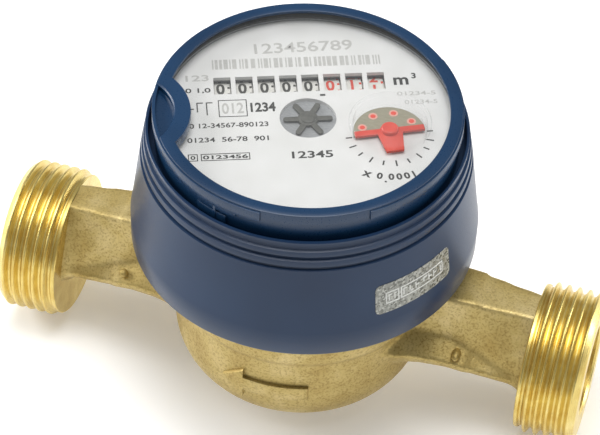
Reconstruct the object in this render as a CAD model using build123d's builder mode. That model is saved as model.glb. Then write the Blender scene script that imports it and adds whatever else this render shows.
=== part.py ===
from build123d import *
import math
import os

# Single-jet, dry-dial, magnetically coupled cold water meter, DN20, G1B ends.
# Millimetres.  +X along the pipe, +Z up, origin under the centre of the base.

# ---- driving dimensions -------------------------------------------------
LENGTH = 130.0            # between the two sealing faces
PIPE_Z = 17.0             # pipe axis above the base
RUN = 0.05                # radial clearance of a shaft in its hole
TURN_GAP = 0.3            # clearance between the turning register and the brass

# threaded ends, G1B
THREAD_R = 16.62
THREAD_PITCH = 2.309
THREAD_DEPTH = 1.479
THREAD_CREST = 0.45
THREAD_TURNS = 5
END_CHAMFER = 1.0
COLLAR_R = 15.8
COLLAR_W = 1.6
BORE_R = 10.0
BORE_DEPTH = 12.0

# brass chamber
CHAMBER_R = 21.5
CHAMBER_WALL = 6.0
BOWL_ROUND = 14.0
PAD_R = 12.5
PAD_H = 2.0
FLOOR_Z = 8.0
STEP_Z = 26.7
STEP_OUT = 0.8
SEAT_Z = 30.0
SEAT_LEDGE = 2.0          # width of the ledge the separating plate sits on
FLANGE_H = 4.0
FLANGE_OUT = 1.5
BRASS_TOP = 47.0
JET_R = 4.0
JET_SIDE = 9.0
JET_START_RISE = 1.5     # jet above the pipe axis, where it leaves the bore
JET_RISE = 5.5           # and where it meets the chamber
STUD_X = 37.4
STUD_R = 0.9

# wet side
PLATE_T = 3.0
SEAL_H = 1.5
HAT_R = 8.0
HAT_WALL = 1.6
HAT_H = 4.0               # of the magnet's hat above the plate
CLAMP_DROP = 3.0          # clamping ring below the brass rim
CLAMP_W = 4.3
TIP_GAP = 1.2             # between the blades and the chamber wall
BLADES = 7
BLADE_T = 1.3
PIVOT_R = 0.6

# register case
REGISTER_TURN = 21.5      # the dial's rows against the pipe, degrees
CASE_SKIRT = 2.9          # the casing hangs this far below the brass flange
CASE_BAND_H = 5.9         # straight band at the foot of the casing
CASE_FLARE = 3.4          # how much wider the foot is than the rim
CASE_RIM_WALL = 0.7
CASE_FLOOR_T = 1.8
CASE_DROP = 2.5           # casing rim below the top of the register housing
BEAD_H = 2.4              # one bead of the three under the rim
GROOVE_DEPTH = 0.7
CAN_OUT = 1.2             # register housing outside the brass flange
CAN_WALL = 1.0
CAN_H = 24.9
CAN_FLOOR_T = 1.2
CUP_SIDE_GAP = 0.4
CUP_TOP_GAP = 0.5
CUP_FLOOR_T = 1.6
BEZEL_WALL = 0.7
BEZEL_SIDE_GAP = 0.1
BEZEL_LIP = 2.1           # the bezel reaches this far in over the housing wall
BEZEL_LIP_T = 0.6
BEZEL_SKIRT = 3.7         # bezel below the casing rim
TROUGH = 0.8              # gap between bezel and case rim
GASKET_T = 0.5
GLASS_T = 2.0
DOME_R = 8.4
DOME_H = 1.5
DOME_WALL = 0.8
POCKET = (-38.5, 0.4)     # centre of the lid-hinge pocket, on the dial
POCKET_R = 11.2
POCKET_WEB = 3.4
POCKET_FLOOR_T = 0.6

# label on the case
LABEL_FROM = -50.0
LABEL_TO = -18.5
LABEL_RISE = 3.0          # label above the band
LABEL_H = 7.4
LABEL_T = 0.15

# register mechanism: (u, w) are measured on the dial, u along the digits
LOWER_PLATE_T = 1.5
TRAIN_PLATE_T = 1.0
UPPER_PLATE_T = 1.2
DIAL_DROP = 0.4           # dial below the top of the housing
DIAL_T = 0.8
GEAR_GAP = 0.4            # between one wheel of the train and the next
GEAR_T = 1.0
SHAFT_R = 0.8
ARBOR_R = 0.6
IDLER_AT = (6.5, -5.8)
POINTER_AT = (16.1, -5.7)
STAR_HOLE_R = 5.8
STAR_SIDE_GAP = 0.7
HALF_DISC_R = 7.4
POINTER_REST = 6.0        # how far the pointer stands turned on the dial
WHEELS = 8
WHEEL_GAP = 1.26          # between two number wheels
ROW_MID_U = -0.94
WHEEL_W = 10.4
WHEEL_R = 7.0
WHEEL_T = 3.3
DIAL_TO_WHEEL = 0.7
WHEEL_OPENING = 0.8       # clear round the wheels in the upper plate
WHEEL_SHAFT_R = 1.0
WHEEL_GEAR_T = 0.65
CARRY_T = 0.45
CARRY_GAP = 0.13
SIDE_GAP = 0.1
PINION_LINE = -33.0       # direction from wheel axis to transfer pinion axis
PINION_SHAFT_R = 0.5
PINION_CLEAR = 0.48       # between a number wheel and the pinion shaft
BRACKET_T = 1.0
WINDOW_W = 3.6
WINDOW_H = 5.0

# teeth
FOLLOWER_TEETH = 8
IDLER_TEETH = 48
IDLER_PINION_TEETH = 8
POINTER_TEETH = 40
DRIVE_PINION_TEETH = 8
RELAY_TEETH = 30
DRIVE_TEETH = 32
CROWN_PINION_TEETH = 8
CROWN_TEETH = 20
WHEEL_TEETH = 20
TRANSFER_TEETH = 8
ADDENDUM = 0.85           # in modules
DEDENDUM = 1.15
BACKLASH = 0.30
PRESSURE = math.radians(20)

# ---- values that follow -------------------------------------------------
CHAMBER_OUT = CHAMBER_R + CHAMBER_WALL
BRASS_R = CHAMBER_OUT + STEP_OUT
FLANGE_R = BRASS_R + FLANGE_OUT
FLANGE_Z = BRASS_TOP - FLANGE_H
SEAT_R = CHAMBER_R + SEAT_LEDGE
CLAMP_IN_R = SEAT_R - CLAMP_W
CLAMP_TOP = BRASS_TOP - CLAMP_DROP
IMPELLER_R = CHAMBER_R - TIP_GAP
END_X = LENGTH / 2
THREAD_LENGTH = THREAD_TURNS * THREAD_PITCH
COLLAR_X = END_X - THREAD_LENGTH - COLLAR_W
PLATE_Z = SEAT_Z + SEAL_H
PLATE_TOP = PLATE_Z + PLATE_T
HAT_TOP = PLATE_TOP + HAT_H
CAN_R = FLANGE_R + CAN_OUT
CAN_FLOOR_Z = BRASS_TOP + TURN_GAP
CAN_TOP = CAN_FLOOR_Z + CAN_H
CUP_R = CLAMP_IN_R - CUP_SIDE_GAP
CUP_Z = HAT_TOP + CUP_TOP_GAP
GLASS_Z = CAN_TOP + GASKET_T
GLASS_TOP = GLASS_Z + GLASS_T
CAN_IN_R = CAN_R - CAN_WALL
BEZEL_R = CAN_R + BEZEL_SIDE_GAP + BEZEL_WALL
BEZEL_IN_R = CAN_R - BEZEL_LIP
BEZEL_TOP = GLASS_TOP + BEZEL_LIP_T
CASE_IN_R = BEZEL_R + TROUGH
CASE_RIM_R = CASE_IN_R + CASE_RIM_WALL
CASE_R = CASE_RIM_R + CASE_FLARE
CASE_BOTTOM = FLANGE_Z - CASE_SKIRT
CASE_BAND_TOP = CASE_BOTTOM + CASE_BAND_H
CASE_TOP = CAN_TOP - CASE_DROP
BEZEL_BOTTOM = CASE_TOP - BEZEL_SKIRT
LOWER_PLATE_Z = CAN_FLOOR_Z + CAN_FLOOR_T
LOWER_PLATE_TOP = LOWER_PLATE_Z + LOWER_PLATE_T
LEVEL_STEP = GEAR_T + GEAR_GAP
LEVEL_1 = LOWER_PLATE_TOP + GEAR_GAP
LEVEL_2 = LEVEL_1 + LEVEL_STEP
LEVEL_3 = LEVEL_2 + LEVEL_STEP
TRAIN_PLATE_Z = LEVEL_3 + LEVEL_STEP
DIAL_TOP = CAN_TOP - DIAL_DROP
DIAL_Z = DIAL_TOP - DIAL_T
UPPER_PLATE_Z = DIAL_Z - UPPER_PLATE_T
PLATE_R = CAN_IN_R - 0.2
WHEEL_PITCH = WHEEL_T + WHEEL_GAP
WHEEL_FIRST_U = ROW_MID_U - WHEEL_PITCH * (WHEELS - 1) / 2
WHEEL_Z = DIAL_Z - DIAL_TO_WHEEL - WHEEL_R
WHEEL_US = [WHEEL_FIRST_U + WHEEL_PITCH * i for i in range(WHEELS)]
PINION_DISTANCE = WHEEL_R + PINION_CLEAR + PINION_SHAFT_R
PINION_W = WHEEL_W + PINION_DISTANCE * math.cos(math.radians(PINION_LINE))
PINION_Z = WHEEL_Z + PINION_DISTANCE * math.sin(math.radians(PINION_LINE))
WHEEL_MODULE = 2 * PINION_DISTANCE / (WHEEL_TEETH + TRANSFER_TEETH)
TRANSFER_OUT_R = WHEEL_MODULE * (TRANSFER_TEETH / 2 + ADDENDUM)
CARRY_R = PINION_DISTANCE - TRANSFER_OUT_R - CARRY_GAP

# the crown on the units wheel, and the upright spindle that drives it
CROWN_R = 5.6
CROWN_DISC_T = 1.5
CROWN_TOOTH_H = 1.3
CROWN_TOOTH_T = 0.6
CROWN_FACE_U = WHEEL_US[-1] + WHEEL_T / 2 + CROWN_DISC_T
CROWN_MODULE = 2 * CROWN_R / CROWN_TEETH
CROWN_PINION_R = CROWN_MODULE * CROWN_PINION_TEETH / 2
DRIVE_U = CROWN_FACE_U + CROWN_TOOTH_H - 0.44 + CROWN_PINION_R
DRIVE_AT = (DRIVE_U, WHEEL_W)
BRACKET_RIGHT_U = DRIVE_U + SHAFT_R + 0.15
BRACKET_LEFT_U = WHEEL_US[0] - WHEEL_T / 2 - CARRY_T - 0.3 - BRACKET_T


def span(a, b):
    return math.hypot(b[0] - a[0], b[1] - a[1])


def bearing(a, b):
    return math.degrees(math.atan2(b[1] - a[1], b[0] - a[0]))


FOLLOWER_AT = (0.0, 0.0)
MODULE_1 = 2 * span(FOLLOWER_AT, IDLER_AT) / (FOLLOWER_TEETH + IDLER_TEETH)
MODULE_2 = 2 * span(IDLER_AT, POINTER_AT) / (IDLER_PINION_TEETH + POINTER_TEETH)
MODULE_3 = span(POINTER_AT, DRIVE_AT) / (
    DRIVE_PINION_TEETH / 2 + RELAY_TEETH + DRIVE_TEETH / 2
)
RELAY_SHARE = MODULE_3 * (DRIVE_PINION_TEETH + RELAY_TEETH) / 2 / span(POINTER_AT, DRIVE_AT)
RELAY_AT = (
    POINTER_AT[0] + RELAY_SHARE * (DRIVE_AT[0] - POINTER_AT[0]),
    POINTER_AT[1] + RELAY_SHARE * (DRIVE_AT[1] - POINTER_AT[1]),
)


def mesh_angle(line, first_angle, first_teeth, second_teeth):
    """Angle that puts the second gear's gap over the first gear's tooth."""
    slip = (first_angle - line) * first_teeth / second_teeth
    return line + 180 - slip - 180 / second_teeth


IDLER_TURN = mesh_angle(bearing(FOLLOWER_AT, IDLER_AT), 0, FOLLOWER_TEETH, IDLER_TEETH)
POINTER_TURN = mesh_angle(
    bearing(IDLER_AT, POINTER_AT), IDLER_TURN, IDLER_PINION_TEETH, POINTER_TEETH
)
RELAY_TURN = mesh_angle(
    bearing(POINTER_AT, RELAY_AT), POINTER_TURN, DRIVE_PINION_TEETH, RELAY_TEETH
)
DRIVE_TURN = mesh_angle(bearing(RELAY_AT, DRIVE_AT), RELAY_TURN, RELAY_TEETH, DRIVE_TEETH)
CROWN_PINION_TURN = 180.0   # a tooth of the small pinion points at the crown
CROWN_TURN = -90 + 180 / CROWN_TEETH
TRANSFER_TURN = mesh_angle(PINION_LINE, PINION_LINE, WHEEL_TEETH, TRANSFER_TEETH)

# ---- planes -------------------------------------------------------------
TURN_COS = math.cos(math.radians(REGISTER_TURN))
TURN_SIN = math.sin(math.radians(REGISTER_TURN))
ROWS = (TURN_COS, TURN_SIN, 0)
ACROSS = (-TURN_SIN, TURN_COS, 0)


def dial_plane(z):
    """Horizontal plane at height z, with x along the digit row."""
    return Plane(origin=(0, 0, z), x_dir=ROWS, z_dir=(0, 0, 1))


def row_plane(u):
    """Upright plane across the digit row at u: x is w, y is height."""
    return Plane(origin=(u * TURN_COS, u * TURN_SIN, 0), x_dir=ACROSS, z_dir=ROWS)


def involute(radius, base):
    ratio = max(radius / base, 1.0)
    return math.sqrt(ratio * ratio - 1) - math.acos(1 / ratio)


def gear_face(teeth, module, turn=0.0, at=(0.0, 0.0)):
    """Spur gear outline in the open sketch: root circle and one tooth repeated."""
    pitch_r = module * teeth / 2
    base_r = pitch_r * math.cos(PRESSURE)
    root_r = pitch_r - DEDENDUM * module
    tip_r = pitch_r + ADDENDUM * module
    half = math.pi / (2 * teeth) + involute(pitch_r, base_r) - BACKLASH * module / (2 * pitch_r)
    flank = []
    for step in range(5):
        radius = root_r * 0.97 + (tip_r - root_r * 0.97) * step / 4
        angle = half - involute(radius, base_r)
        flank.append((radius * math.cos(angle), radius * math.sin(angle)))
    mirror_flank = [(x, -y) for x, y in reversed(flank)]
    with Locations(at):
        Circle(root_r)
    with Locations(Location((at[0], at[1], 0), (0, 0, turn))):
        with PolarLocations(0, teeth):
            Polygon(*(flank + mirror_flank), align=None)


def finish(builder, name):
    builder.part.label = name
    export_step(builder.part, f"parts/{name}.step")


os.makedirs("parts", exist_ok=True)

# ---- brass body ---------------------------------------------------------
PIPE_PLANE = Plane(origin=(0, 0, PIPE_Z), x_dir=(1, 0, 0), z_dir=(0, -1, 0))
PIPE_AXIS = Axis((0, 0, PIPE_Z), (1, 0, 0))
# half sections of a neck, (out, up) from the pipe axis: flat top, flank, sharp lip, underside
NECK_TIP = [(3.6, 15.5), (9.3, 1.6), (9.6, 0.6), (9.2, -0.6), (3.6, -5.0)]
NECK_MIDDLE = [(5.2, 16.9), (7.2, 7.5), (12.2, 4.6), (11.4, 2.6), (4.2, -4.5)]
NECK_ROOT = [(6.8, 18.3), (9.8, 10.4), (15.0, 6.0), (13.0, 2.5), (5.0, -5.0)]
NECK_ROOT_X = 19.0
ARROW = [(-9.5, 0), (-4.5, 4.2), (-4.5, 1.9), (9.5, 1.9), (9.5, -1.9), (-4.5, -1.9), (-4.5, -4.2)]
ARROW_Z = 17.7
ARROW_PROUD = 0.5
STUD_Y = -10.5
STUD_RISE = 6.2           # stud centre above the pipe axis
STUD_H = 3.0
PIVOT_BASE_R = 1.0
PIVOT_BASE_H = 4.0
PIVOT_H = 3.0
STRAINER_T = 1.2
STRAINER_RIM = 2.5


def thread_points():
    """Half profile of one threaded end, measured from its sealing face inward."""
    points = [(0, BORE_R), (0, THREAD_R - END_CHAMFER)]
    root = THREAD_R - THREAD_DEPTH
    flank = (THREAD_PITCH - 2 * THREAD_CREST) / 2
    x = END_CHAMFER
    for turn in range(THREAD_TURNS):
        points.append((x, THREAD_R))
        points.append((x + THREAD_CREST, THREAD_R))
        points.append((x + THREAD_CREST + flank, root))
        points.append((x + THREAD_CREST * 2 + flank, root))
        x += THREAD_PITCH
    points.append((THREAD_LENGTH + THREAD_CREST, COLLAR_R))
    points.append((THREAD_LENGTH + COLLAR_W, COLLAR_R))
    points.append((THREAD_LENGTH + COLLAR_W, 0))
    points.append((BORE_DEPTH, 0))
    points.append((BORE_DEPTH, BORE_R))
    return points


def neck_outline(points):
    """Closed outline of a neck section, from its half on one side."""
    return points + [(-y, z) for y, z in reversed(points)]


with BuildPart() as flow_arrow:
    with BuildSketch(Plane.XZ):
        with Locations((0, ARROW_Z)):
            Polygon(*ARROW, align=None)
    extrude(amount=CHAMBER_OUT + ARROW_PROUD)
    with BuildSketch():
        Circle(CHAMBER_OUT + ARROW_PROUD)
        Circle(CHAMBER_OUT - CHAMBER_WALL / 2, mode=Mode.SUBTRACT)
    extrude(amount=STEP_Z, mode=Mode.INTERSECT)

with BuildPart() as brass_body:
    with BuildSketch(Plane.XZ):
        with BuildLine():
            Line((0, 0), (PAD_R, 0))
            Line((PAD_R, 0), (PAD_R, PAD_H))
            Line((PAD_R, PAD_H), (CHAMBER_OUT - BOWL_ROUND, PAD_H))
            JernArc((CHAMBER_OUT - BOWL_ROUND, PAD_H), (1, 0), BOWL_ROUND, 90)
            Line((CHAMBER_OUT, PAD_H + BOWL_ROUND), (CHAMBER_OUT, STEP_Z))
            Line((CHAMBER_OUT, STEP_Z), (BRASS_R, STEP_Z + STEP_OUT))
            Line((BRASS_R, STEP_Z + STEP_OUT), (BRASS_R, FLANGE_Z))
            Line((BRASS_R, FLANGE_Z), (FLANGE_R, FLANGE_Z))
            Line((FLANGE_R, FLANGE_Z), (FLANGE_R, BRASS_TOP))
            Line((FLANGE_R, BRASS_TOP), (0, BRASS_TOP))
            Line((0, BRASS_TOP), (0, 0))
        make_face()
    revolve(axis=Axis.Z)
    for side in (-1, 1):
        with BuildSketch(PIPE_PLANE):
            Polygon(*[(side * (END_X - x), r) for x, r in thread_points()], align=None)
        revolve(axis=PIPE_AXIS)
        neck_middle_x = (COLLAR_X + NECK_ROOT_X) / 2
        neck_sections = ((COLLAR_X, NECK_TIP), (neck_middle_x, NECK_MIDDLE), (NECK_ROOT_X, NECK_ROOT))
        for neck_x, section in neck_sections:
            with BuildSketch(Plane(origin=(side * neck_x, 0, PIPE_Z), x_dir=(0, 1, 0), z_dir=(1, 0, 0))):
                Polygon(*neck_outline(section), align=None)
        loft(ruled=True)
        with Locations((side * STUD_X, STUD_Y, PIPE_Z + STUD_RISE)):
            Cylinder(STUD_R, STUD_H)
    add(flow_arrow.part)
    # wet chamber, plate seat and clamping thread
    with BuildSketch(Plane.XY.offset(FLOOR_Z)):
        Circle(CHAMBER_R)
    extrude(amount=BRASS_TOP, mode=Mode.SUBTRACT)
    with BuildSketch(Plane.XY.offset(SEAT_Z)):
        Circle(SEAT_R)
    extrude(amount=BRASS_TOP, mode=Mode.SUBTRACT)
    # the two jets open on the same side of the chamber
    for side in (-1, 1):
        start = Vector(side * (END_X - BORE_DEPTH + 0.5), 0, PIPE_Z + JET_START_RISE)
        end = Vector(side * CHAMBER_R * 0.5, JET_SIDE, PIPE_Z + JET_RISE)
        with BuildSketch(Plane(origin=start, z_dir=end - start)):
            Circle(JET_R)
        extrude(amount=(end - start).length, mode=Mode.SUBTRACT)
    with Locations((0, 0, FLOOR_Z - PIVOT_BASE_H / 2)):
        Cylinder(PIVOT_BASE_R, PIVOT_BASE_H, mode=Mode.SUBTRACT)
finish(brass_body, "brass_body")

with BuildPart() as inlet_strainer:
    inlet_plane = Plane(origin=(END_X - BORE_DEPTH, 0, PIPE_Z), x_dir=(0, 1, 0), z_dir=(1, 0, 0))
    with BuildSketch(inlet_plane):
        Circle(BORE_R)
        with PolarLocations(BORE_R * 0.66, 12):
            Circle(BORE_R * 0.135, mode=Mode.SUBTRACT)
        with PolarLocations(BORE_R * 0.32, 6):
            Circle(BORE_R * 0.125, mode=Mode.SUBTRACT)
    extrude(amount=STRAINER_T)
    with BuildSketch(inlet_plane.offset(STRAINER_T)):
        Circle(BORE_R)
        Circle(BORE_R - STRAINER_T, mode=Mode.SUBTRACT)
    extrude(amount=STRAINER_RIM)
finish(inlet_strainer, "inlet_strainer")

with BuildPart() as lower_pivot_pin:
    with Locations((0, 0, FLOOR_Z - PIVOT_BASE_H / 2)):
        Cylinder(PIVOT_BASE_R, PIVOT_BASE_H)
    with Locations((0, 0, FLOOR_Z)):
        Cylinder(PIVOT_R, PIVOT_H, align=(Align.CENTER, Align.CENTER, Align.MIN))
finish(lower_pivot_pin, "lower_pivot_pin")

# ---- wet side: plate, seal, clamp ----------------------------------------
with BuildPart() as plate_seal_ring:
    with BuildSketch(Plane.XY.offset(SEAT_Z)):
        Circle(SEAT_R)
        Circle(CHAMBER_R, mode=Mode.SUBTRACT)
    extrude(amount=SEAL_H)
finish(plate_seal_ring, "plate_seal_ring")

with BuildPart() as separating_plate:
    with BuildSketch(Plane.XY.offset(PLATE_Z)):
        Circle(SEAT_R)
    extrude(amount=PLATE_T)
    with BuildSketch(Plane.XY.offset(PLATE_TOP)):
        Circle(HAT_R)
    extrude(amount=HAT_H)
    fillet(separating_plate.edges().filter_by(GeomType.CIRCLE).group_by(Axis.Z)[-1], 1.0)
    with BuildSketch(Plane.XY.offset(PLATE_Z)):
        Circle(HAT_R - HAT_WALL)
    extrude(amount=HAT_TOP - HAT_WALL - PLATE_Z, mode=Mode.SUBTRACT)
finish(separating_plate, "separating_plate")

SLOT_W = 3.0
SLOT_DEPTH = 2.0
with BuildPart() as clamping_ring:
    with BuildSketch(Plane.XY.offset(PLATE_TOP)):
        Circle(SEAT_R)
        Circle(CLAMP_IN_R, mode=Mode.SUBTRACT)
    extrude(amount=CLAMP_TOP - PLATE_TOP)
    with BuildSketch(Plane.XY.offset(CLAMP_TOP - SLOT_DEPTH)):
        with PolarLocations((SEAT_R + CLAMP_IN_R) / 2, 4):
            Rectangle(CLAMP_W + 2, SLOT_W)
    extrude(amount=SLOT_DEPTH, mode=Mode.SUBTRACT)
finish(clamping_ring, "clamping_ring")

SHIELD_GAP = 0.2
SHIELD_T = 1.2
with BuildPart() as shield_ring:
    with BuildSketch(Plane.XY.offset(PLATE_TOP)):
        Circle(HAT_R + SHIELD_GAP + SHIELD_T)
        Circle(HAT_R + SHIELD_GAP, mode=Mode.SUBTRACT)
    extrude(amount=HAT_H - 0.1)
finish(shield_ring, "shield_ring")

BUSH_TOP = HAT_TOP - HAT_WALL
BUSH_H = 2.0
BUSH_R = 2.2
with BuildPart() as upper_bearing_bush:
    with BuildSketch(Plane.XY.offset(BUSH_TOP - BUSH_H)):
        Circle(BUSH_R)
        Circle(PIVOT_R + RUN, mode=Mode.SUBTRACT)
    extrude(amount=BUSH_H)
finish(upper_bearing_bush, "upper_bearing_bush")

# ---- impeller -----------------------------------------------------------
JEWEL_H = 2.0
JEWEL_R = 2.0
JEWEL_Z = FLOOR_Z + PIVOT_H - 1.0
HUB_R = 4.0
BLADE_Z = JEWEL_Z + 1.0
BLADE_TOP = SEAT_Z - 1.0
MAGNET_Z = PLATE_Z + 0.9
MAGNET_H = 3.0
MAGNET_IN = 3.0
MAGNET_GAP = 0.4          # magnet inside the hat
MAGNET_OUT = HAT_R - HAT_WALL - MAGNET_GAP
MAGNET_SEAT_T = 1.2
MAGNET_CORE_H = 2.1
with BuildPart() as impeller:
    with BuildSketch(Plane.XY.offset(JEWEL_Z)):
        Circle(HUB_R)
    extrude(amount=MAGNET_Z - JEWEL_Z)
    with BuildSketch(Plane.XY.offset(BLADE_Z)):
        with PolarLocations(IMPELLER_R / 2, BLADES):
            Rectangle(IMPELLER_R, BLADE_T)
    extrude(amount=BLADE_TOP - BLADE_Z)
    with BuildSketch(Plane.XY.offset(MAGNET_Z - MAGNET_SEAT_T)):
        Circle(MAGNET_OUT)
    extrude(amount=MAGNET_SEAT_T)
    with BuildSketch(Plane.XY.offset(MAGNET_Z)):
        Circle(MAGNET_IN)
    extrude(amount=MAGNET_CORE_H)
    with BuildSketch(Plane.XY.offset(JEWEL_Z)):
        Circle(JEWEL_R)
    extrude(amount=JEWEL_H, mode=Mode.SUBTRACT)
    with BuildSketch(Plane.XY.offset(MAGNET_Z)):
        Circle(PIVOT_R)
    extrude(amount=MAGNET_CORE_H, mode=Mode.SUBTRACT)
finish(impeller, "impeller")

with BuildPart() as impeller_jewel:
    with BuildSketch(Plane.XY.offset(JEWEL_Z)):
        Circle(JEWEL_R)
    extrude(amount=JEWEL_H)
    with BuildSketch(Plane.XY.offset(JEWEL_Z)):
        Circle(PIVOT_R + RUN)
    extrude(amount=JEWEL_H * 0.65, mode=Mode.SUBTRACT)
finish(impeller_jewel, "impeller_jewel")

with BuildPart() as impeller_magnet:
    with BuildSketch(Plane.XY.offset(MAGNET_Z)):
        Circle(MAGNET_OUT)
        Circle(MAGNET_IN, mode=Mode.SUBTRACT)
    extrude(amount=MAGNET_H)
finish(impeller_magnet, "impeller_magnet")

with BuildPart() as impeller_top_pivot:
    with BuildSketch(Plane.XY.offset(MAGNET_Z)):
        Circle(PIVOT_R)
    extrude(amount=BUSH_TOP - 0.3 - MAGNET_Z)
finish(impeller_top_pivot, "impeller_top_pivot")

# ---- register case ------------------------------------------------------
FIRST_GROOVE_Z = CASE_TOP - 6.8
WALL_TOP_R = CASE_RIM_R + 1.1
BEAD_R = CASE_RIM_R + 0.8
GROOVE_R = BEAD_R - GROOVE_DEPTH
LEDGE_Z = BEZEL_BOTTOM - 3.0    # ring that the register housing is clipped under
with BuildPart() as outer_casing:
    with BuildSketch(Plane.XZ):
        with BuildLine():
            Polyline(
                (BRASS_R + TURN_GAP, CASE_BOTTOM),
                (CASE_R - 0.6, CASE_BOTTOM),
                (CASE_R, CASE_BOTTOM + 0.8),
                (CASE_R, CASE_BAND_TOP),
                (WALL_TOP_R, FIRST_GROOVE_Z - 0.2),
                (GROOVE_R + 0.3, FIRST_GROOVE_Z),
                (GROOVE_R + 0.3, FIRST_GROOVE_Z + 0.6),
                (BEAD_R, FIRST_GROOVE_Z + 0.8),
                (BEAD_R - 0.1, FIRST_GROOVE_Z + BEAD_H - 0.2),
                (GROOVE_R - 0.1, FIRST_GROOVE_Z + BEAD_H),
                (GROOVE_R - 0.1, FIRST_GROOVE_Z + BEAD_H + 0.6),
                (BEAD_R - 0.4, FIRST_GROOVE_Z + BEAD_H + 0.8),
                (BEAD_R - 0.5, FIRST_GROOVE_Z + 2 * BEAD_H - 0.3),
                (GROOVE_R - 0.4, FIRST_GROOVE_Z + 2 * BEAD_H - 0.1),
                (GROOVE_R - 0.4, CASE_TOP - 0.7),
                (CASE_RIM_R, CASE_TOP - 0.5),
                (CASE_RIM_R, CASE_TOP),
                (CASE_IN_R, CASE_TOP),
                (CASE_IN_R, BEZEL_BOTTOM),
                (CAN_R, BEZEL_BOTTOM),
                (CAN_R, LEDGE_Z),
                (CASE_IN_R, LEDGE_Z - (CASE_IN_R - CAN_R)),
                (CASE_IN_R, CASE_BOTTOM + CASE_FLOOR_T),
                (BRASS_R + TURN_GAP, CASE_BOTTOM + CASE_FLOOR_T),
                close=True,
            )
        make_face()
    revolve(axis=Axis.Z)
finish(outer_casing, "outer_casing")

LUG_LINE = -117.5
LUG_W = 6.0
LUG_OUT = 1.1
LUG_REACH = 1.8
with BuildPart() as bezel_ring:
    with BuildSketch(Plane.XZ):
        Polygon(
            (BEZEL_R - BEZEL_WALL, BEZEL_BOTTOM),
            (BEZEL_R, BEZEL_BOTTOM),
            (BEZEL_R, BEZEL_TOP - 0.4),
            (BEZEL_R - 0.4, BEZEL_TOP),
            (BEZEL_IN_R + 0.3, BEZEL_TOP),
            (BEZEL_IN_R, BEZEL_TOP - 0.3),
            (BEZEL_IN_R, GLASS_TOP),
            (BEZEL_R - BEZEL_WALL, GLASS_TOP),
            align=None,
        )
    revolve(axis=Axis.Z)
    with BuildSketch(dial_plane(GLASS_Z + SIDE_GAP)):
        with Locations(POCKET):
            Circle(POCKET_R + POCKET_WEB)
        Circle(BEZEL_R, mode=Mode.INTERSECT)
    extrude(amount=BEZEL_TOP - GLASS_Z - SIDE_GAP)
    with BuildSketch(dial_plane(GLASS_Z + SIDE_GAP + POCKET_FLOOR_T)):
        with Locations(POCKET):
            Circle(POCKET_R)
    extrude(amount=BEZEL_TOP, mode=Mode.SUBTRACT)
    with BuildSketch(dial_plane(CASE_TOP + SIDE_GAP)):
        with PolarLocations(BEZEL_R + LUG_OUT - LUG_REACH / 2, 1, LUG_LINE):
            Rectangle(LUG_REACH, LUG_W)
    extrude(amount=BEZEL_TOP - CASE_TOP - SIDE_GAP - 0.8)
finish(bezel_ring, "bezel_ring")


LABEL_LOW = CASE_BAND_TOP + LABEL_RISE
LABEL_HIGH = LABEL_LOW + LABEL_H


def case_radius(z):
    """Outer radius of the sloping case wall at height z."""
    slope = (CASE_R - WALL_TOP_R) / (FIRST_GROOVE_Z - 0.2 - CASE_BAND_TOP)
    return CASE_R - slope * (z - CASE_BAND_TOP)


with BuildPart() as tamper_label:
    with BuildSketch(Plane.XZ.rotated((0, 0, LABEL_FROM))):
        Polygon(
            (case_radius(LABEL_LOW), LABEL_LOW),
            (case_radius(LABEL_LOW) + LABEL_T, LABEL_LOW),
            (case_radius(LABEL_HIGH) + LABEL_T, LABEL_HIGH),
            (case_radius(LABEL_HIGH), LABEL_HIGH),
            align=None,
        )
    revolve(axis=Axis.Z, revolution_arc=LABEL_TO - LABEL_FROM)
finish(tamper_label, "tamper_label")

PIVOT_HOLE = 0.8
FOLLOWER_TIP_R = SHAFT_R - 0.3
with BuildPart() as register_housing:
    with BuildSketch(Plane.XY.offset(CAN_FLOOR_Z)):
        Circle(CAN_R)
    extrude(amount=CAN_TOP - CAN_FLOOR_Z)
    with BuildSketch(Plane.XY.offset(CUP_Z)):
        Circle(CUP_R)
    extrude(amount=CAN_FLOOR_Z - CUP_Z)
    with BuildSketch(Plane.XY.offset(LOWER_PLATE_Z)):
        Circle(CAN_IN_R)
    extrude(amount=CAN_TOP, mode=Mode.SUBTRACT)
    with BuildSketch(Plane.XY.offset(CUP_Z + CUP_FLOOR_T)):
        Circle(CUP_R - CAN_FLOOR_T)
    extrude(amount=LOWER_PLATE_Z - CUP_Z - CUP_FLOOR_T, mode=Mode.SUBTRACT)
    with BuildSketch(Plane.XY.offset(CUP_Z + CUP_FLOOR_T - PIVOT_HOLE)):
        Circle(FOLLOWER_TIP_R + RUN)
    extrude(amount=PIVOT_HOLE, mode=Mode.SUBTRACT)
finish(register_housing, "register_housing")

with BuildPart() as window_gasket:
    with BuildSketch(Plane.XY.offset(CAN_TOP)):
        Circle(CAN_R)
        Circle(CAN_IN_R, mode=Mode.SUBTRACT)
    extrude(amount=GASKET_T)
finish(window_gasket, "window_gasket")

with BuildPart() as register_window:
    with BuildSketch(dial_plane(GLASS_Z)):
        Circle(BEZEL_R - BEZEL_WALL - SIDE_GAP)
        with Locations(POCKET):
            Circle(POCKET_R + POCKET_WEB + SIDE_GAP, mode=Mode.SUBTRACT)
    extrude(amount=GLASS_T)
    with BuildSketch(dial_plane(GLASS_TOP)):
        with Locations(POINTER_AT):
            Circle(DOME_R)
    extrude(amount=DOME_H)
    fillet(register_window.edges().filter_by(GeomType.CIRCLE).group_by(Axis.Z)[-1], 0.6)
    with BuildSketch(dial_plane(GLASS_Z)):
        with Locations(POINTER_AT):
            Circle(DOME_R - DOME_WALL)
    extrude(amount=GLASS_T + DOME_H - DOME_WALL, mode=Mode.SUBTRACT)
finish(register_window, "register_window")

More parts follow.
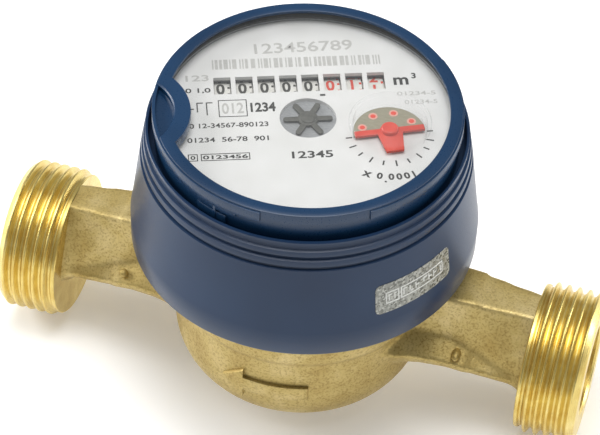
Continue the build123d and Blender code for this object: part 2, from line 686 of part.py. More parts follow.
# ---- register frame -----------------------------------------------------
PILLAR_IN = 4.2           # pillars inside the housing wall
PILLARS = [
    (
        (CAN_IN_R - PILLAR_IN) * math.cos(math.radians(line)),
        (CAN_IN_R - PILLAR_IN) * math.sin(math.radians(line)),
    )
    for line in (90, 193, 250, 301)
]
TRAIN_POSTS = [(-3, -12), (10.5, -17), (27, -1), (8, 10)]
TRAIN_OUTLINE = [(-5.5, -13.5), (10, -19.5), (22.5, -14.5), (28.8, -2), (26, 12), (18, 14), (5.5, 12.5), (-3, 3)]
PILLAR_R = 1.4
POST_R = 1.0
SCREW_R = 0.7
SCREW_HEAD_R = 1.5
SCREW_HEAD_H = 0.7
SCREW_DEPTH = 4.0

with BuildPart() as lower_frame_plate:
    with BuildSketch(dial_plane(LOWER_PLATE_Z)):
        Circle(PLATE_R)
        with Locations(FOLLOWER_AT):
            Circle(SHAFT_R + RUN, mode=Mode.SUBTRACT)
        with Locations(IDLER_AT, POINTER_AT, DRIVE_AT):
            Circle(ARBOR_R + RUN, mode=Mode.SUBTRACT)
    extrude(amount=LOWER_PLATE_T)
finish(lower_frame_plate, "lower_frame_plate")

with BuildPart() as train_plate:
    with BuildSketch(dial_plane(TRAIN_PLATE_Z)):
        Polygon(*TRAIN_OUTLINE, align=None)
        with Locations(FOLLOWER_AT, DRIVE_AT):
            Circle(SHAFT_R + RUN, mode=Mode.SUBTRACT)
        with Locations(IDLER_AT, POINTER_AT, RELAY_AT):
            Circle(ARBOR_R + RUN, mode=Mode.SUBTRACT)
    extrude(amount=TRAIN_PLATE_T)
finish(train_plate, "train_plate")

with BuildPart() as train_posts:
    with BuildSketch(dial_plane(LOWER_PLATE_TOP)):
        with Locations(*TRAIN_POSTS):
            Circle(POST_R)
    extrude(amount=TRAIN_PLATE_Z - LOWER_PLATE_TOP)
finish(train_posts, "train_posts")

with BuildPart() as relay_stud:
    with BuildSketch(dial_plane(LEVEL_3 - 0.3)):
        with Locations(RELAY_AT):
            Circle(ARBOR_R - RUN)
    extrude(amount=TRAIN_PLATE_Z + TRAIN_PLATE_T - LEVEL_3 + 0.3)
    with BuildSketch(dial_plane(TRAIN_PLATE_Z)):
        with Locations(RELAY_AT):
            Circle(ARBOR_R + RUN)
    extrude(amount=TRAIN_PLATE_T)
    with BuildSketch(dial_plane(LEVEL_3 - 0.3)):
        with Locations(RELAY_AT):
            Circle(ARBOR_R + 0.35)
    extrude(amount=0.2)
finish(relay_stud, "relay_stud")

with BuildPart() as frame_pillars:
    with BuildSketch(dial_plane(LOWER_PLATE_TOP)):
        with Locations(*PILLARS):
            Circle(PILLAR_R)
    extrude(amount=UPPER_PLATE_Z - LOWER_PLATE_TOP)
    with BuildSketch(dial_plane(UPPER_PLATE_Z - SCREW_DEPTH)):
        with Locations(*PILLARS):
            Circle(SCREW_R)
    extrude(amount=SCREW_DEPTH, mode=Mode.SUBTRACT)
finish(frame_pillars, "frame_pillars")

OPENING_HALF = math.sqrt(WHEEL_R ** 2 - (UPPER_PLATE_Z - WHEEL_Z) ** 2) + WHEEL_OPENING
OPENING_LEFT = BRACKET_LEFT_U + BRACKET_T
OPENING_RIGHT = BRACKET_RIGHT_U
with BuildPart() as upper_frame_plate:
    with BuildSketch(dial_plane(UPPER_PLATE_Z)):
        Circle(PLATE_R)
        with Locations(((OPENING_LEFT + OPENING_RIGHT) / 2, WHEEL_W)):
            Rectangle(OPENING_RIGHT - OPENING_LEFT, 2 * OPENING_HALF, mode=Mode.SUBTRACT)
        with Locations(FOLLOWER_AT):
            Circle(SHAFT_R + RUN, mode=Mode.SUBTRACT)
        with Locations(POINTER_AT):
            Circle(ARBOR_R + RUN, mode=Mode.SUBTRACT)
        with Locations(*PILLARS):
            Circle(SCREW_R, mode=Mode.SUBTRACT)
    extrude(amount=UPPER_PLATE_T)
    with BuildSketch(dial_plane(DIAL_Z - SCREW_HEAD_H)):
        with Locations(*PILLARS):
            Circle(SCREW_HEAD_R)
    extrude(amount=SCREW_HEAD_H, mode=Mode.SUBTRACT)
finish(upper_frame_plate, "upper_frame_plate")

with BuildPart() as frame_screws:
    with BuildSketch(dial_plane(DIAL_Z - SCREW_HEAD_H)):
        with Locations(*PILLARS):
            Circle(SCREW_HEAD_R)
    extrude(amount=SCREW_HEAD_H)
    with BuildSketch(dial_plane(UPPER_PLATE_Z - SCREW_DEPTH)):
        with Locations(*PILLARS):
            Circle(SCREW_R)
    extrude(amount=SCREW_DEPTH + UPPER_PLATE_T - SCREW_HEAD_H)
    with BuildSketch(dial_plane(DIAL_Z - 0.3)):
        with Locations(*PILLARS):
            Rectangle(2 * SCREW_HEAD_R, 0.4)
    extrude(amount=0.3, mode=Mode.SUBTRACT)
finish(frame_screws, "frame_screws")

with BuildPart() as dial_plate:
    with BuildSketch(dial_plane(DIAL_Z)):
        Circle(PLATE_R)
        with Locations(*[(u, WHEEL_W) for u in WHEEL_US]):
            Rectangle(WINDOW_W, WINDOW_H, mode=Mode.SUBTRACT)
        with Locations(FOLLOWER_AT):
            Circle(STAR_HOLE_R, mode=Mode.SUBTRACT)
        with Locations(POINTER_AT):
            Circle(ARBOR_R + 0.5, mode=Mode.SUBTRACT)
    extrude(amount=DIAL_T)
finish(dial_plate, "dial_plate")

BRACKET = [
    (WHEEL_W - 3.0, UPPER_PLATE_Z),
    (WHEEL_W - 3.0, WHEEL_Z - 2.2),
    (WHEEL_W + 2.5, WHEEL_Z - 2.2),
    (PINION_W - 1.6, PINION_Z - 1.3),
    (PINION_W + 1.2, PINION_Z - 1.3),
    (PINION_W + 1.2, UPPER_PLATE_Z),
]
for name, bracket_u in (("left_roller_bracket", BRACKET_LEFT_U), ("right_roller_bracket", BRACKET_RIGHT_U)):
    with BuildPart() as roller_bracket:
        with BuildSketch(row_plane(bracket_u)):
            Polygon(*BRACKET, align=None)
            with Locations((WHEEL_W, WHEEL_Z)):
                Circle(WHEEL_SHAFT_R, mode=Mode.SUBTRACT)
            with Locations((PINION_W, PINION_Z)):
                Circle(PINION_SHAFT_R, mode=Mode.SUBTRACT)
        extrude(amount=BRACKET_T)
    finish(roller_bracket, name)

ROLLER_SPAN = BRACKET_RIGHT_U - BRACKET_LEFT_U + BRACKET_T
with BuildPart() as roller_shaft:
    with BuildSketch(row_plane(BRACKET_LEFT_U)):
        with Locations((WHEEL_W, WHEEL_Z)):
            Circle(WHEEL_SHAFT_R)
    extrude(amount=ROLLER_SPAN)
finish(roller_shaft, "roller_shaft")

with BuildPart() as pinion_shaft:
    with BuildSketch(row_plane(BRACKET_LEFT_U)):
        with Locations((PINION_W, PINION_Z)):
            Circle(PINION_SHAFT_R)
    extrude(amount=ROLLER_SPAN)
finish(pinion_shaft, "pinion_shaft")

# ---- follower, with the star on its shaft ---------------------------------
FOLLOWER_MAGNET_Z = CUP_Z + CUP_FLOOR_T + 0.7
FOLLOWER_MAGNET_H = 2.2
STAR_Z = DIAL_Z + 0.25
STAR_T = 0.45
STAR_ARM_W = 1.2
STAR_R = STAR_HOLE_R - STAR_SIDE_GAP
STAR_HUB_R = 2.1
with BuildPart() as follower_rotor:
    with BuildSketch(dial_plane(CUP_Z + CUP_FLOOR_T - PIVOT_HOLE + 0.1)):
        Circle(FOLLOWER_TIP_R)
    extrude(amount=PIVOT_HOLE + 0.3)
    with BuildSketch(dial_plane(CUP_Z + CUP_FLOOR_T + 0.2)):
        Circle(SHAFT_R)
    extrude(amount=STAR_Z + STAR_T - CUP_Z - CUP_FLOOR_T - 0.2)
    with BuildSketch(dial_plane(FOLLOWER_MAGNET_Z)):
        Circle(MAGNET_IN)
    extrude(amount=FOLLOWER_MAGNET_H)
    with BuildSketch(dial_plane(FOLLOWER_MAGNET_Z + FOLLOWER_MAGNET_H)):
        Circle(MAGNET_OUT + 0.6)
    extrude(amount=1.2)
    with BuildSketch(dial_plane(LEVEL_1)):
        gear_face(FOLLOWER_TEETH, MODULE_1, 0.0)
    extrude(amount=GEAR_T)
finish(follower_rotor, "follower_rotor")

with BuildPart() as follower_magnet:
    with BuildSketch(dial_plane(FOLLOWER_MAGNET_Z)):
        Circle(MAGNET_OUT)
        Circle(MAGNET_IN, mode=Mode.SUBTRACT)
    extrude(amount=FOLLOWER_MAGNET_H)
finish(follower_magnet, "follower_magnet")

with BuildPart() as star_indicator:
    with BuildSketch(dial_plane(STAR_Z)):
        Circle(STAR_HUB_R)
        with PolarLocations(0, 6):
            Polygon((0, -STAR_ARM_W / 2), (STAR_R, -STAR_ARM_W / 2 * 0.9), (STAR_R, STAR_ARM_W / 2 * 0.9),
                    (0, STAR_ARM_W / 2), align=None)
        Circle(SHAFT_R, mode=Mode.SUBTRACT)
    extrude(amount=STAR_T)
finish(star_indicator, "star_indicator")

# ---- gear train ---------------------------------------------------------
with BuildPart() as idler_gear:
    with BuildSketch(dial_plane(LOWER_PLATE_Z + 0.1)):
        with Locations(IDLER_AT):
            Circle(ARBOR_R)
    extrude(amount=TRAIN_PLATE_Z + TRAIN_PLATE_T - LOWER_PLATE_Z - 0.1)
    with BuildSketch(dial_plane(LEVEL_1)):
        gear_face(IDLER_TEETH, MODULE_1, IDLER_TURN, IDLER_AT)
    extrude(amount=GEAR_T)
    with BuildSketch(dial_plane(LEVEL_1 + GEAR_T)):
        gear_face(IDLER_PINION_TEETH, MODULE_2, IDLER_TURN, IDLER_AT)
    extrude(amount=LEVEL_2 - LEVEL_1)
finish(idler_gear, "idler_gear")

HUB_Z = DIAL_TOP + 0.25
DISC_T = 0.35
POINTER_T = 0.6
with BuildPart() as pointer_gear:
    with BuildSketch(dial_plane(LOWER_PLATE_Z + 0.1)):
        with Locations(POINTER_AT):
            Circle(ARBOR_R)
    extrude(amount=HUB_Z + DISC_T + POINTER_T - LOWER_PLATE_Z - 0.1)
    with BuildSketch(dial_plane(LEVEL_2)):
        gear_face(POINTER_TEETH, MODULE_2, POINTER_TURN, POINTER_AT)
    extrude(amount=GEAR_T)
    with BuildSketch(dial_plane(LEVEL_2 + GEAR_T)):
        gear_face(DRIVE_PINION_TEETH, MODULE_3, POINTER_TURN, POINTER_AT)
    extrude(amount=LEVEL_3 - LEVEL_2)
finish(pointer_gear, "pointer_gear")

with BuildPart() as inductive_half_disc:
    with BuildSketch(dial_plane(HUB_Z)):
        with Locations(POINTER_AT):
            Circle(HALF_DISC_R)
        with Locations(Location((POINTER_AT[0], POINTER_AT[1], 0), (0, 0, POINTER_REST))):
            Rectangle(2 * HALF_DISC_R + 1, HALF_DISC_R + 1, align=(Align.CENTER, Align.MAX), mode=Mode.SUBTRACT)
        with Locations(POINTER_AT):
            Circle(2.0)
            Circle(ARBOR_R, mode=Mode.SUBTRACT)
    extrude(amount=DISC_T)
finish(inductive_half_disc, "inductive_half_disc")

POINTER_Z = HUB_Z + DISC_T
with BuildPart() as litre_pointer:
    with BuildSketch(dial_plane(POINTER_Z)):
        with Locations(Location((POINTER_AT[0], POINTER_AT[1], 0), (0, 0, POINTER_REST))):
            Rectangle(14.4, 1.5)
            Polygon((-2.6, -0.5), (2.6, -0.5), (1.8, -5.9), (-1.8, -5.9), align=None)
            Circle(2.0)
    extrude(amount=POINTER_T)
    with BuildSketch(dial_plane(POINTER_Z + POINTER_T)):
        with Locations(POINTER_AT):
            Circle(1.8)
    extrude(amount=0.9)
    fillet(litre_pointer.edges().filter_by(GeomType.CIRCLE).group_by(Axis.Z)[-1], 0.5)
    with BuildSketch(dial_plane(POINTER_Z)):
        with Locations(POINTER_AT):
            Circle(ARBOR_R)
    extrude(amount=POINTER_T, mode=Mode.SUBTRACT)
finish(litre_pointer, "litre_pointer")

with BuildPart() as relay_gear:
    with BuildSketch(dial_plane(LEVEL_3)):
        gear_face(RELAY_TEETH, MODULE_3, RELAY_TURN, RELAY_AT)
        with Locations(RELAY_AT):
            Circle(ARBOR_R, mode=Mode.SUBTRACT)
    extrude(amount=GEAR_T)
finish(relay_gear, "relay_gear")

CROWN_PINION_Z = WHEEL_Z - CROWN_R - 1.0
CROWN_PINION_T = 2.0
with BuildPart() as drive_spindle:
    with BuildSketch(dial_plane(LOWER_PLATE_Z + 0.1)):
        with Locations(DRIVE_AT):
            Circle(ARBOR_R)
    extrude(amount=LEVEL_1 - LOWER_PLATE_Z)
    with BuildSketch(dial_plane(LEVEL_1)):
        with Locations(DRIVE_AT):
            Circle(SHAFT_R)
    extrude(amount=CROWN_PINION_Z + CROWN_PINION_T - LEVEL_1)
    with BuildSketch(dial_plane(LEVEL_3)):
        gear_face(DRIVE_TEETH, MODULE_3, DRIVE_TURN, DRIVE_AT)
    extrude(amount=GEAR_T)
    with BuildSketch(dial_plane(CROWN_PINION_Z)):
        gear_face(CROWN_PINION_TEETH, CROWN_MODULE, CROWN_PINION_TURN, DRIVE_AT)
    extrude(amount=CROWN_PINION_T)
finish(drive_spindle, "drive_spindle")

# ---- number wheels, transfer pinions and the units crown -------------------
for index, wheel_u in enumerate(WHEEL_US):
    with BuildPart() as number_wheel:
        with BuildSketch(row_plane(wheel_u - WHEEL_T / 2)):
            with Locations((WHEEL_W, WHEEL_Z)):
                Circle(WHEEL_R)
        extrude(amount=WHEEL_T)
        if index > 0:
            with BuildSketch(row_plane(wheel_u - WHEEL_T / 2 - CARRY_T)):
                with Locations((WHEEL_W, WHEEL_Z)):
                    Circle(CARRY_R - 0.6)
                with Locations(Location((WHEEL_W, WHEEL_Z, 0), (0, 0, PINION_LINE - 40))):
                    with PolarLocations(0, 2, 0, 18, rotate=True):
                        Rectangle(CARRY_R, 0.5, align=(Align.MIN, Align.CENTER))
            extrude(amount=CARRY_T)
        if index < WHEELS - 1:
            with BuildSketch(row_plane(wheel_u + WHEEL_T / 2)):
                gear_face(WHEEL_TEETH, WHEEL_MODULE, PINION_LINE, (WHEEL_W, WHEEL_Z))
            extrude(amount=WHEEL_GEAR_T)
        with BuildSketch(row_plane(wheel_u - WHEEL_T)):
            with Locations((WHEEL_W, WHEEL_Z)):
                Circle(WHEEL_SHAFT_R + RUN)
        extrude(amount=2 * WHEEL_T, mode=Mode.SUBTRACT)
    finish(number_wheel, f"number_wheel_{index + 1}")

for index, wheel_u in enumerate(WHEEL_US[:-1]):
    gap_from = wheel_u + WHEEL_T / 2 + SIDE_GAP
    with BuildPart() as transfer_pinion:
        with BuildSketch(row_plane(gap_from)):
            gear_face(TRANSFER_TEETH, WHEEL_MODULE, TRANSFER_TURN, (PINION_W, PINION_Z))
            with Locations((PINION_W, PINION_Z)):
                Circle(PINION_SHAFT_R + RUN, mode=Mode.SUBTRACT)
        extrude(amount=WHEEL_PITCH - WHEEL_T - 2 * SIDE_GAP)
    finish(transfer_pinion, f"transfer_pinion_{index + 1}")

with BuildPart() as units_crown:
    with BuildSketch(row_plane(CROWN_FACE_U - CROWN_DISC_T)):
        with Locations((WHEEL_W, WHEEL_Z)):
            Circle(CROWN_R + 0.6)
            Circle(WHEEL_SHAFT_R + RUN, mode=Mode.SUBTRACT)
    extrude(amount=CROWN_DISC_T)
    with BuildSketch(row_plane(CROWN_FACE_U)):
        with Locations(Location((WHEEL_W, WHEEL_Z, 0), (0, 0, CROWN_TURN))):
            with PolarLocations(CROWN_R, CROWN_TEETH):
                Rectangle(1.1, CROWN_TOOTH_T)
    extrude(amount=CROWN_TOOTH_H)
finish(units_crown, "units_crown")
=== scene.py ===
import math
import random

import bpy
from mathutils import Matrix, Vector


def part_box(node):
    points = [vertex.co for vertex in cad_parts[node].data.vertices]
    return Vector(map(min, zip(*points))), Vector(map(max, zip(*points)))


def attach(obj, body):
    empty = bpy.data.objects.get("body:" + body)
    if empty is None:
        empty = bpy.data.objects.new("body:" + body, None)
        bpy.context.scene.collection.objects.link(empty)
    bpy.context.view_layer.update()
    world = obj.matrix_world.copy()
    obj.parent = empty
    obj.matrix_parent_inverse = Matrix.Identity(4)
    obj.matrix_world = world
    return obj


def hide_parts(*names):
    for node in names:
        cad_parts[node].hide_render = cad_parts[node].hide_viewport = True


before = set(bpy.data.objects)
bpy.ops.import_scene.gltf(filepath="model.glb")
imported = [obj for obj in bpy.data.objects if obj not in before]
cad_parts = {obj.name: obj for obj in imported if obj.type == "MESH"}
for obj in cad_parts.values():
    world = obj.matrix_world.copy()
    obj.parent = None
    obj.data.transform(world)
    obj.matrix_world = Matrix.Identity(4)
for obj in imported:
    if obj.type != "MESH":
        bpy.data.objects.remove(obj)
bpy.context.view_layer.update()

# ---- Brass body casting ----------------------------------------------------
# The meter body is one sand-cast brass piece: a round chamber on a base pad,
# with a faceted neck on each side. The casting skin is left as it comes out
# of the mould; a flow arrow and two round stud marks are cast on.
mm = 0.001


def alone():
    """Leave edit mode with nothing selected."""
    if bpy.context.object and bpy.context.object.mode != "OBJECT":
        bpy.ops.object.mode_set(mode="OBJECT")
    bpy.ops.object.select_all(action="DESELECT")


def pick(thing):
    alone()
    thing.select_set(True)
    bpy.context.view_layer.objects.active = thing
    return thing


def settle(thing, name, sharp=35.0):
    """Place goes into the mesh and hard edges stay hard."""
    pick(thing)
    bpy.ops.object.transform_apply(location=True, rotation=True, scale=True)
    bpy.ops.object.shade_smooth_by_angle(angle=math.radians(sharp))
    thing.name = thing.data.name = name
    return thing


def close_up(thing, gap=0.002 * mm):
    pick(thing)
    bpy.ops.object.mode_set(mode="EDIT")
    bpy.ops.mesh.select_all(action="SELECT")
    bpy.ops.mesh.remove_doubles(threshold=gap)
    bpy.ops.mesh.normals_make_consistent(inside=False)
    bpy.ops.object.mode_set(mode="OBJECT")
    return thing


def turned(profile, sides=128):
    """A ring drawn up along (radius, height) points in mm, as on a lathe."""
    alone()
    radius, height = (max(profile[0][0], 0.001), profile[0][1])
    bpy.ops.mesh.primitive_circle_add(vertices=sides, radius=radius * mm)
    thing = bpy.context.object
    bpy.ops.object.mode_set(mode="EDIT")
    bpy.ops.mesh.select_mode(type="EDGE")
    bpy.ops.mesh.select_all(action="SELECT")
    bpy.ops.transform.translate(value=(0, 0, height * mm))
    for next_radius, next_height in profile[1:]:
        next_radius = max(next_radius, 0.001)
        rise = (0, 0, (next_height - height) * mm)
        bpy.ops.mesh.extrude_edges_move(TRANSFORM_OT_translate={"value": rise})
        grow = next_radius / radius
        bpy.ops.transform.resize(value=(grow, grow, 1), center_override=(0, 0, next_height * mm))
        radius, height = next_radius, next_height
    return close_up(thing)


def modifier(thing, kind, **settings):
    pick(thing)
    m = thing.modifiers.new(kind.title(), kind)
    for key, value in settings.items():
        setattr(m, key, value)
    bpy.ops.object.modifier_apply(modifier=m.name)
    return thing


def soften(thing, width, segments=2, angle=35.0):
    return modifier(thing, "BEVEL", width=width * mm, segments=segments, limit_method="ANGLE",
                    angle_limit=math.radians(angle), use_clamp_overlap=True)


def joined(things):
    alone()
    for thing in things:
        thing.select_set(True)
    bpy.context.view_layer.objects.active = things[0]
    if len(things) > 1:
        bpy.ops.object.join()
    return things[0]


def combine(thing, other, how="DIFFERENCE"):
    modifier(thing, "BOOLEAN", object=other, operation=how, solver="EXACT")
    bpy.data.objects.remove(other)
    return thing


def outline_loft(sections):
    """Closed outlines of (x, y, z) points in mm, drawn out one after another."""
    alone()
    bpy.ops.mesh.primitive_circle_add(vertices=len(sections[0]), fill_type="NGON")
    thing = bpy.context.object
    for vertex, point in zip(thing.data.vertices, sections[0]):
        vertex.co = Vector(point) * mm
    bpy.ops.object.mode_set(mode="EDIT")
    bpy.ops.mesh.select_mode(type="FACE")
    bpy.ops.mesh.select_all(action="SELECT")
    for before, section in zip(sections, sections[1:]):
        bpy.ops.mesh.extrude_region_move()
        bpy.ops.object.mode_set(mode="OBJECT")
        for vertex in [v for v in thing.data.vertices if v.select]:
            spot = min(range(len(before)), key=lambda i: (vertex.co - Vector(before[i]) * mm).length)
            vertex.co = Vector(section[spot]) * mm
        bpy.ops.object.mode_set(mode="EDIT")
    bpy.ops.object.mode_set(mode="OBJECT")
    return close_up(thing)


pipe_z = 17.0
bowl_r, step_r, flange_r = 27.5, 28.3, 29.8
bowl_profile = [(0, 0), (11.9, 0), (12.5, 0.5), (12.5, 1.6), (13.2, 2.0)]
bowl_profile += [(13.5 + 14 * math.sin(math.radians(a)), 16 - 14 * math.cos(math.radians(a)))
                 for a in range(6, 91, 7)]
bowl_profile += [(bowl_r, 26.4), (step_r, 27.4), (step_r, 43), (flange_r, 43), (flange_r, 47), (0, 47)]
castings = [turned(bowl_profile, 160)]

neck_tip = [(3.6, 15.5), (9.3, 1.6), (9.6, 0.6), (9.2, -0.6), (3.6, -5.0)]
neck_middle = [(5.2, 16.9), (7.2, 7.5), (12.2, 4.6), (11.4, 2.6), (4.2, -4.5)]
neck_root = [(6.8, 18.3), (9.8, 10.4), (15.0, 6.0), (13.0, 2.5), (5.0, -5.0)]
tip_x, middle_x, root_x = 51.86, 35.43, 19.0
# Distance from the middle of the body, and how far the neck swells there: it
# flares into the threaded end, up to the collar, and into the bowl.
neck_stations = [(52.6, 3.2), (52.0, 2.0), (51.3, 1.1), (50.3, 0.45), (48.8, 0.1), (40.3, 0.0),
                 (39.5, 0.35), (middle_x, 0.1), (30.0, 0.0), (27.0, 0.5), (25.0, 1.3), (root_x, 1.5)]
end_flare_x, flare_limit = 45, 15.6
for side in (-1, 1):
    sections = []
    for x, swell in neck_stations:
        if x > middle_x:
            outer, inner, share = neck_tip, neck_middle, (tip_x - x) / (tip_x - middle_x)
        else:
            outer, inner, share = neck_middle, neck_root, (middle_x - x) / (middle_x - root_x)
        half = []
        for (ty, tz), (ry, rz) in zip(outer, inner):
            y = ty + (ry - ty) * share
            z = tz + (rz - tz) * share
            reach = math.hypot(y, z)
            room = max(0.0, flare_limit - reach) if x > end_flare_x else swell
            grow = 1 + min(swell, room) / reach
            half.append((y * grow, z * grow))
        ring = [(side * x, y, pipe_z + z) for y, z in half]
        ring += [(side * x, -y, pipe_z + z) for y, z in reversed(half)]
        sections.append(ring)
    castings.append(outline_loft(sections))
casting = joined(castings)
modifier(casting, "REMESH", mode="VOXEL", voxel_size=0.55 * mm)
modifier(casting, "SMOOTH", factor=0.5, iterations=3)

arrow = [(-9.5, 0), (-4.5, 4.2), (-4.5, 1.9), (9.5, 1.9), (9.5, -1.9), (-4.5, -1.9), (-4.5, -4.2)]
arrow_z, arrow_in, arrow_out, relief = 17.7, 24.0, 30.0, 0.75
raised = outline_loft([[(x, -y, arrow_z + z) for x, z in arrow] for y in (arrow_in, arrow_out)])
arrow_skin = turned([(0, 5), (bowl_r + relief, 5), (bowl_r + relief, 26), (0, 26)], 160)
raised = combine(raised, arrow_skin, "INTERSECT")
soften(close_up(raised), 0.25, 2, 50)
casting = combine(casting, raised, "UNION")
stud_x, stud_y, stud_z, stud_r = 37.4, -10.4, 23.1, 1.05
for side, stretch in ((-1, 1.0), (1, 1.7)):
    alone()
    bpy.ops.mesh.primitive_uv_sphere_add(segments=24, ring_count=12, radius=stud_r * mm,
                                         location=(side * stud_x * mm, stud_y * mm, stud_z * mm),
                                         scale=(1, stretch, 0.9))
    stud = bpy.context.object
    bpy.ops.object.transform_apply(location=True, rotation=True, scale=True)
    casting = combine(casting, stud, "UNION")

# The chamber has a wider seat for the clamping ring above it. A drilled jet
# leads into it from each bore, to the same side, so that water turns the wheel.
chamber_r, seat_r, chamber_floor, seat_z = 21.5, 23.5, 8, 30
chamber = turned([(0, chamber_floor), (chamber_r, chamber_floor), (chamber_r, seat_z),
                  (seat_r, seat_z), (seat_r, 50), (0, 50)], 128)
casting = combine(casting, chamber)
jets = []
jet_r, jet_start, jet_end = 4, (53.5, 0, 18.5), (10.75, 9.0, 22.5)
for side in (-1, 1):
    start, end = [Vector((side * x, y, z)) for x, y, z in (jet_start, jet_end)]
    alone()
    bpy.ops.mesh.primitive_cylinder_add(vertices=48, radius=jet_r * mm, depth=(end - start).length * mm)
    jet = bpy.context.object
    jet.rotation_mode = "QUATERNION"
    jet.rotation_quaternion = (end - start).to_track_quat("Z", "Y")
    jet.location = (start + end) / 2 * mm
    bpy.ops.object.transform_apply(location=True, rotation=True, scale=True)
    jets.append(jet)
for jet in jets:
    cut = jet.copy()
    cut.data = jet.data.copy()
    bpy.context.collection.objects.link(cut)
    casting = combine(casting, cut)
settle(close_up(casting), "brass_casting", 50)


def rgb(code):
    """sRGB hex to the linear colour that a shader takes."""
    parts = [int(code[i:i + 2], 16) / 255 for i in (1, 3, 5)]
    return tuple(c / 12.92 if c <= 0.04045 else ((c + 0.055) / 1.055) ** 2.4 for c in parts) + (1.0,)


def add(tree, kind, inputs=None, **settings):
    """One node: settings are its own, inputs are values or sockets to link from."""
    node = tree.nodes.new("ShaderNode" + kind)
    for key, value in settings.items():
        setattr(node, key, value)
    for key, value in (inputs or {}).items():
        if isinstance(value, bpy.types.NodeSocket):
            tree.links.new(value, node.inputs[key])
        else:
            node.inputs[key].default_value = value
    return node


def material(name, metallic, roughness, **sockets):
    """A new material: (material, node tree, its Principled shader, Object coordinates)."""
    made = bpy.data.materials.new(name)
    made.use_nodes = True
    tree = made.node_tree
    shader = tree.nodes["Principled BSDF"]
    shader.inputs["Metallic"].default_value = metallic
    shader.inputs["Roughness"].default_value = roughness
    for key, value in sockets.items():
        shader.inputs[key.replace("_", " ")].default_value = value
    return made, tree, shader, add(tree, "TexCoord").outputs["Object"]


def noise(tree, where, size, detail=3.0, rough=0.5):
    """Noise with features about size mm across."""
    inputs = {"Vector": where, "Scale": 1 / (size * mm), "Detail": detail, "Roughness": rough}
    return add(tree, "TexNoise", inputs).outputs["Fac"]


def ramp(tree, fac, *stops):
    node = add(tree, "ValToRGB", {"Fac": fac})
    marks = node.color_ramp.elements
    while len(marks) < len(stops):
        marks.new(0.5)
    for mark, (place, colour) in zip(marks, stops):
        mark.position = place
        mark.color = rgb(colour) if isinstance(colour, str) else (colour, colour, colour, 1)
    return node.outputs["Color"]


def bump(tree, shader, height, depth, strength=1.0, under=None):
    """Relief of depth mm, on top of another relief if one is given."""
    inputs = {"Height": height, "Strength": strength, "Distance": depth * mm}
    if under is not None:
        inputs["Normal"] = under
    out = add(tree, "Bump", inputs).outputs["Normal"]
    tree.links.new(out, shader.inputs["Normal"])
    return out


def coat(thing, finish):
    """Give a new piece its one material."""
    thing.data.materials.clear()
    thing.data.materials.append(finish)


# Sand-cast brass, shot-blasted: a warm yellow skin of tiny pits, duller and
# browner in patches. Sand grain is 0.3 mm and is drawn at 0.5 mm so it shows.
cast_brass, tree, shader, where = material("sand_cast_brass", 0.6, 0.46)
grain = noise(tree, where, 0.5, 4.0, 0.6)
patches = noise(tree, where, 9.0, 3.0, 0.6)
skin = ramp(tree, patches, (0.30, "#B39A58"), (0.52, "#C6B06F"), (0.72, "#D6C289"))
pitted = ramp(tree, grain, (0.30, "#A08A52"), (0.52, "#FFFFFF"))
mixed = add(tree, "Mix", {"Factor": 0.55, 6: skin, 7: pitted}, data_type="RGBA", blend_type="MULTIPLY")
tree.links.new(mixed.outputs[2], shader.inputs["Base Color"])
tree.links.new(ramp(tree, grain, (0.3, 0.58), (0.7, 0.36)), shader.inputs["Roughness"])
pits = bump(tree, shader, grain, 0.10, 0.8)
bump(tree, shader, noise(tree, where, 3.0, 2.0), 0.10, 0.5, pits)
coat(casting, cast_brass)
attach(casting, "meter_body")
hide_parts("brass_body")

# ---- Machined threaded ends ------------------------------------------------
# Both pipe ends of the casting are turned on a lathe and carry a G1B thread,
# a chamfered lead-in and a flat sealing face; the bore is drilled from there.
thread_r, pitch, thread_depth, turns = 16.62, 2.309, 1.479, 5
crest, bore_r, bore_depth, collar_r, collar_w = 0.62, 10.0, 12.0, 15.8, 1.6
end_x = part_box("brass_body")[1].x / mm
face_r, lead_in_r, first_crest = 15.35, 15.62, 1.15
end_profile = [(0, bore_depth), (bore_r, bore_depth), (bore_r, 0.5), (bore_r + 0.5, 0), (face_r, 0),
               (lead_in_r, 0.12)]
x = first_crest
root = thread_r - thread_depth + 0.15
flank = (pitch - 2 * crest) / 2
# Each turn is a crest and a root as (radius, distance from the sealing face),
# both rounded at their edges.
for turn in range(turns):
    end_profile += [(thread_r - 0.22, x), (thread_r - 0.06, x + 0.12), (thread_r, x + 0.25),
                    (thread_r, x + crest - 0.25), (thread_r - 0.06, x + crest - 0.12),
                    (thread_r - 0.22, x + crest)]
    end_profile += [(root + 0.25, x + crest + flank - 0.1), (root + 0.08, x + crest + flank + 0.05),
                    (root, x + crest + flank + 0.2), (root, x + 2 * crest + flank - 0.2),
                    (root + 0.08, x + 2 * crest + flank - 0.05),
                    (root + 0.25, x + 2 * crest + flank + 0.1)]
    x += pitch
last = turns * pitch
end_profile += [(collar_r - 0.2, last + crest), (collar_r, last + crest + 0.2),
                (collar_r, last + collar_w - 0.2), (collar_r - 0.2, last + collar_w), (0, last + collar_w)]
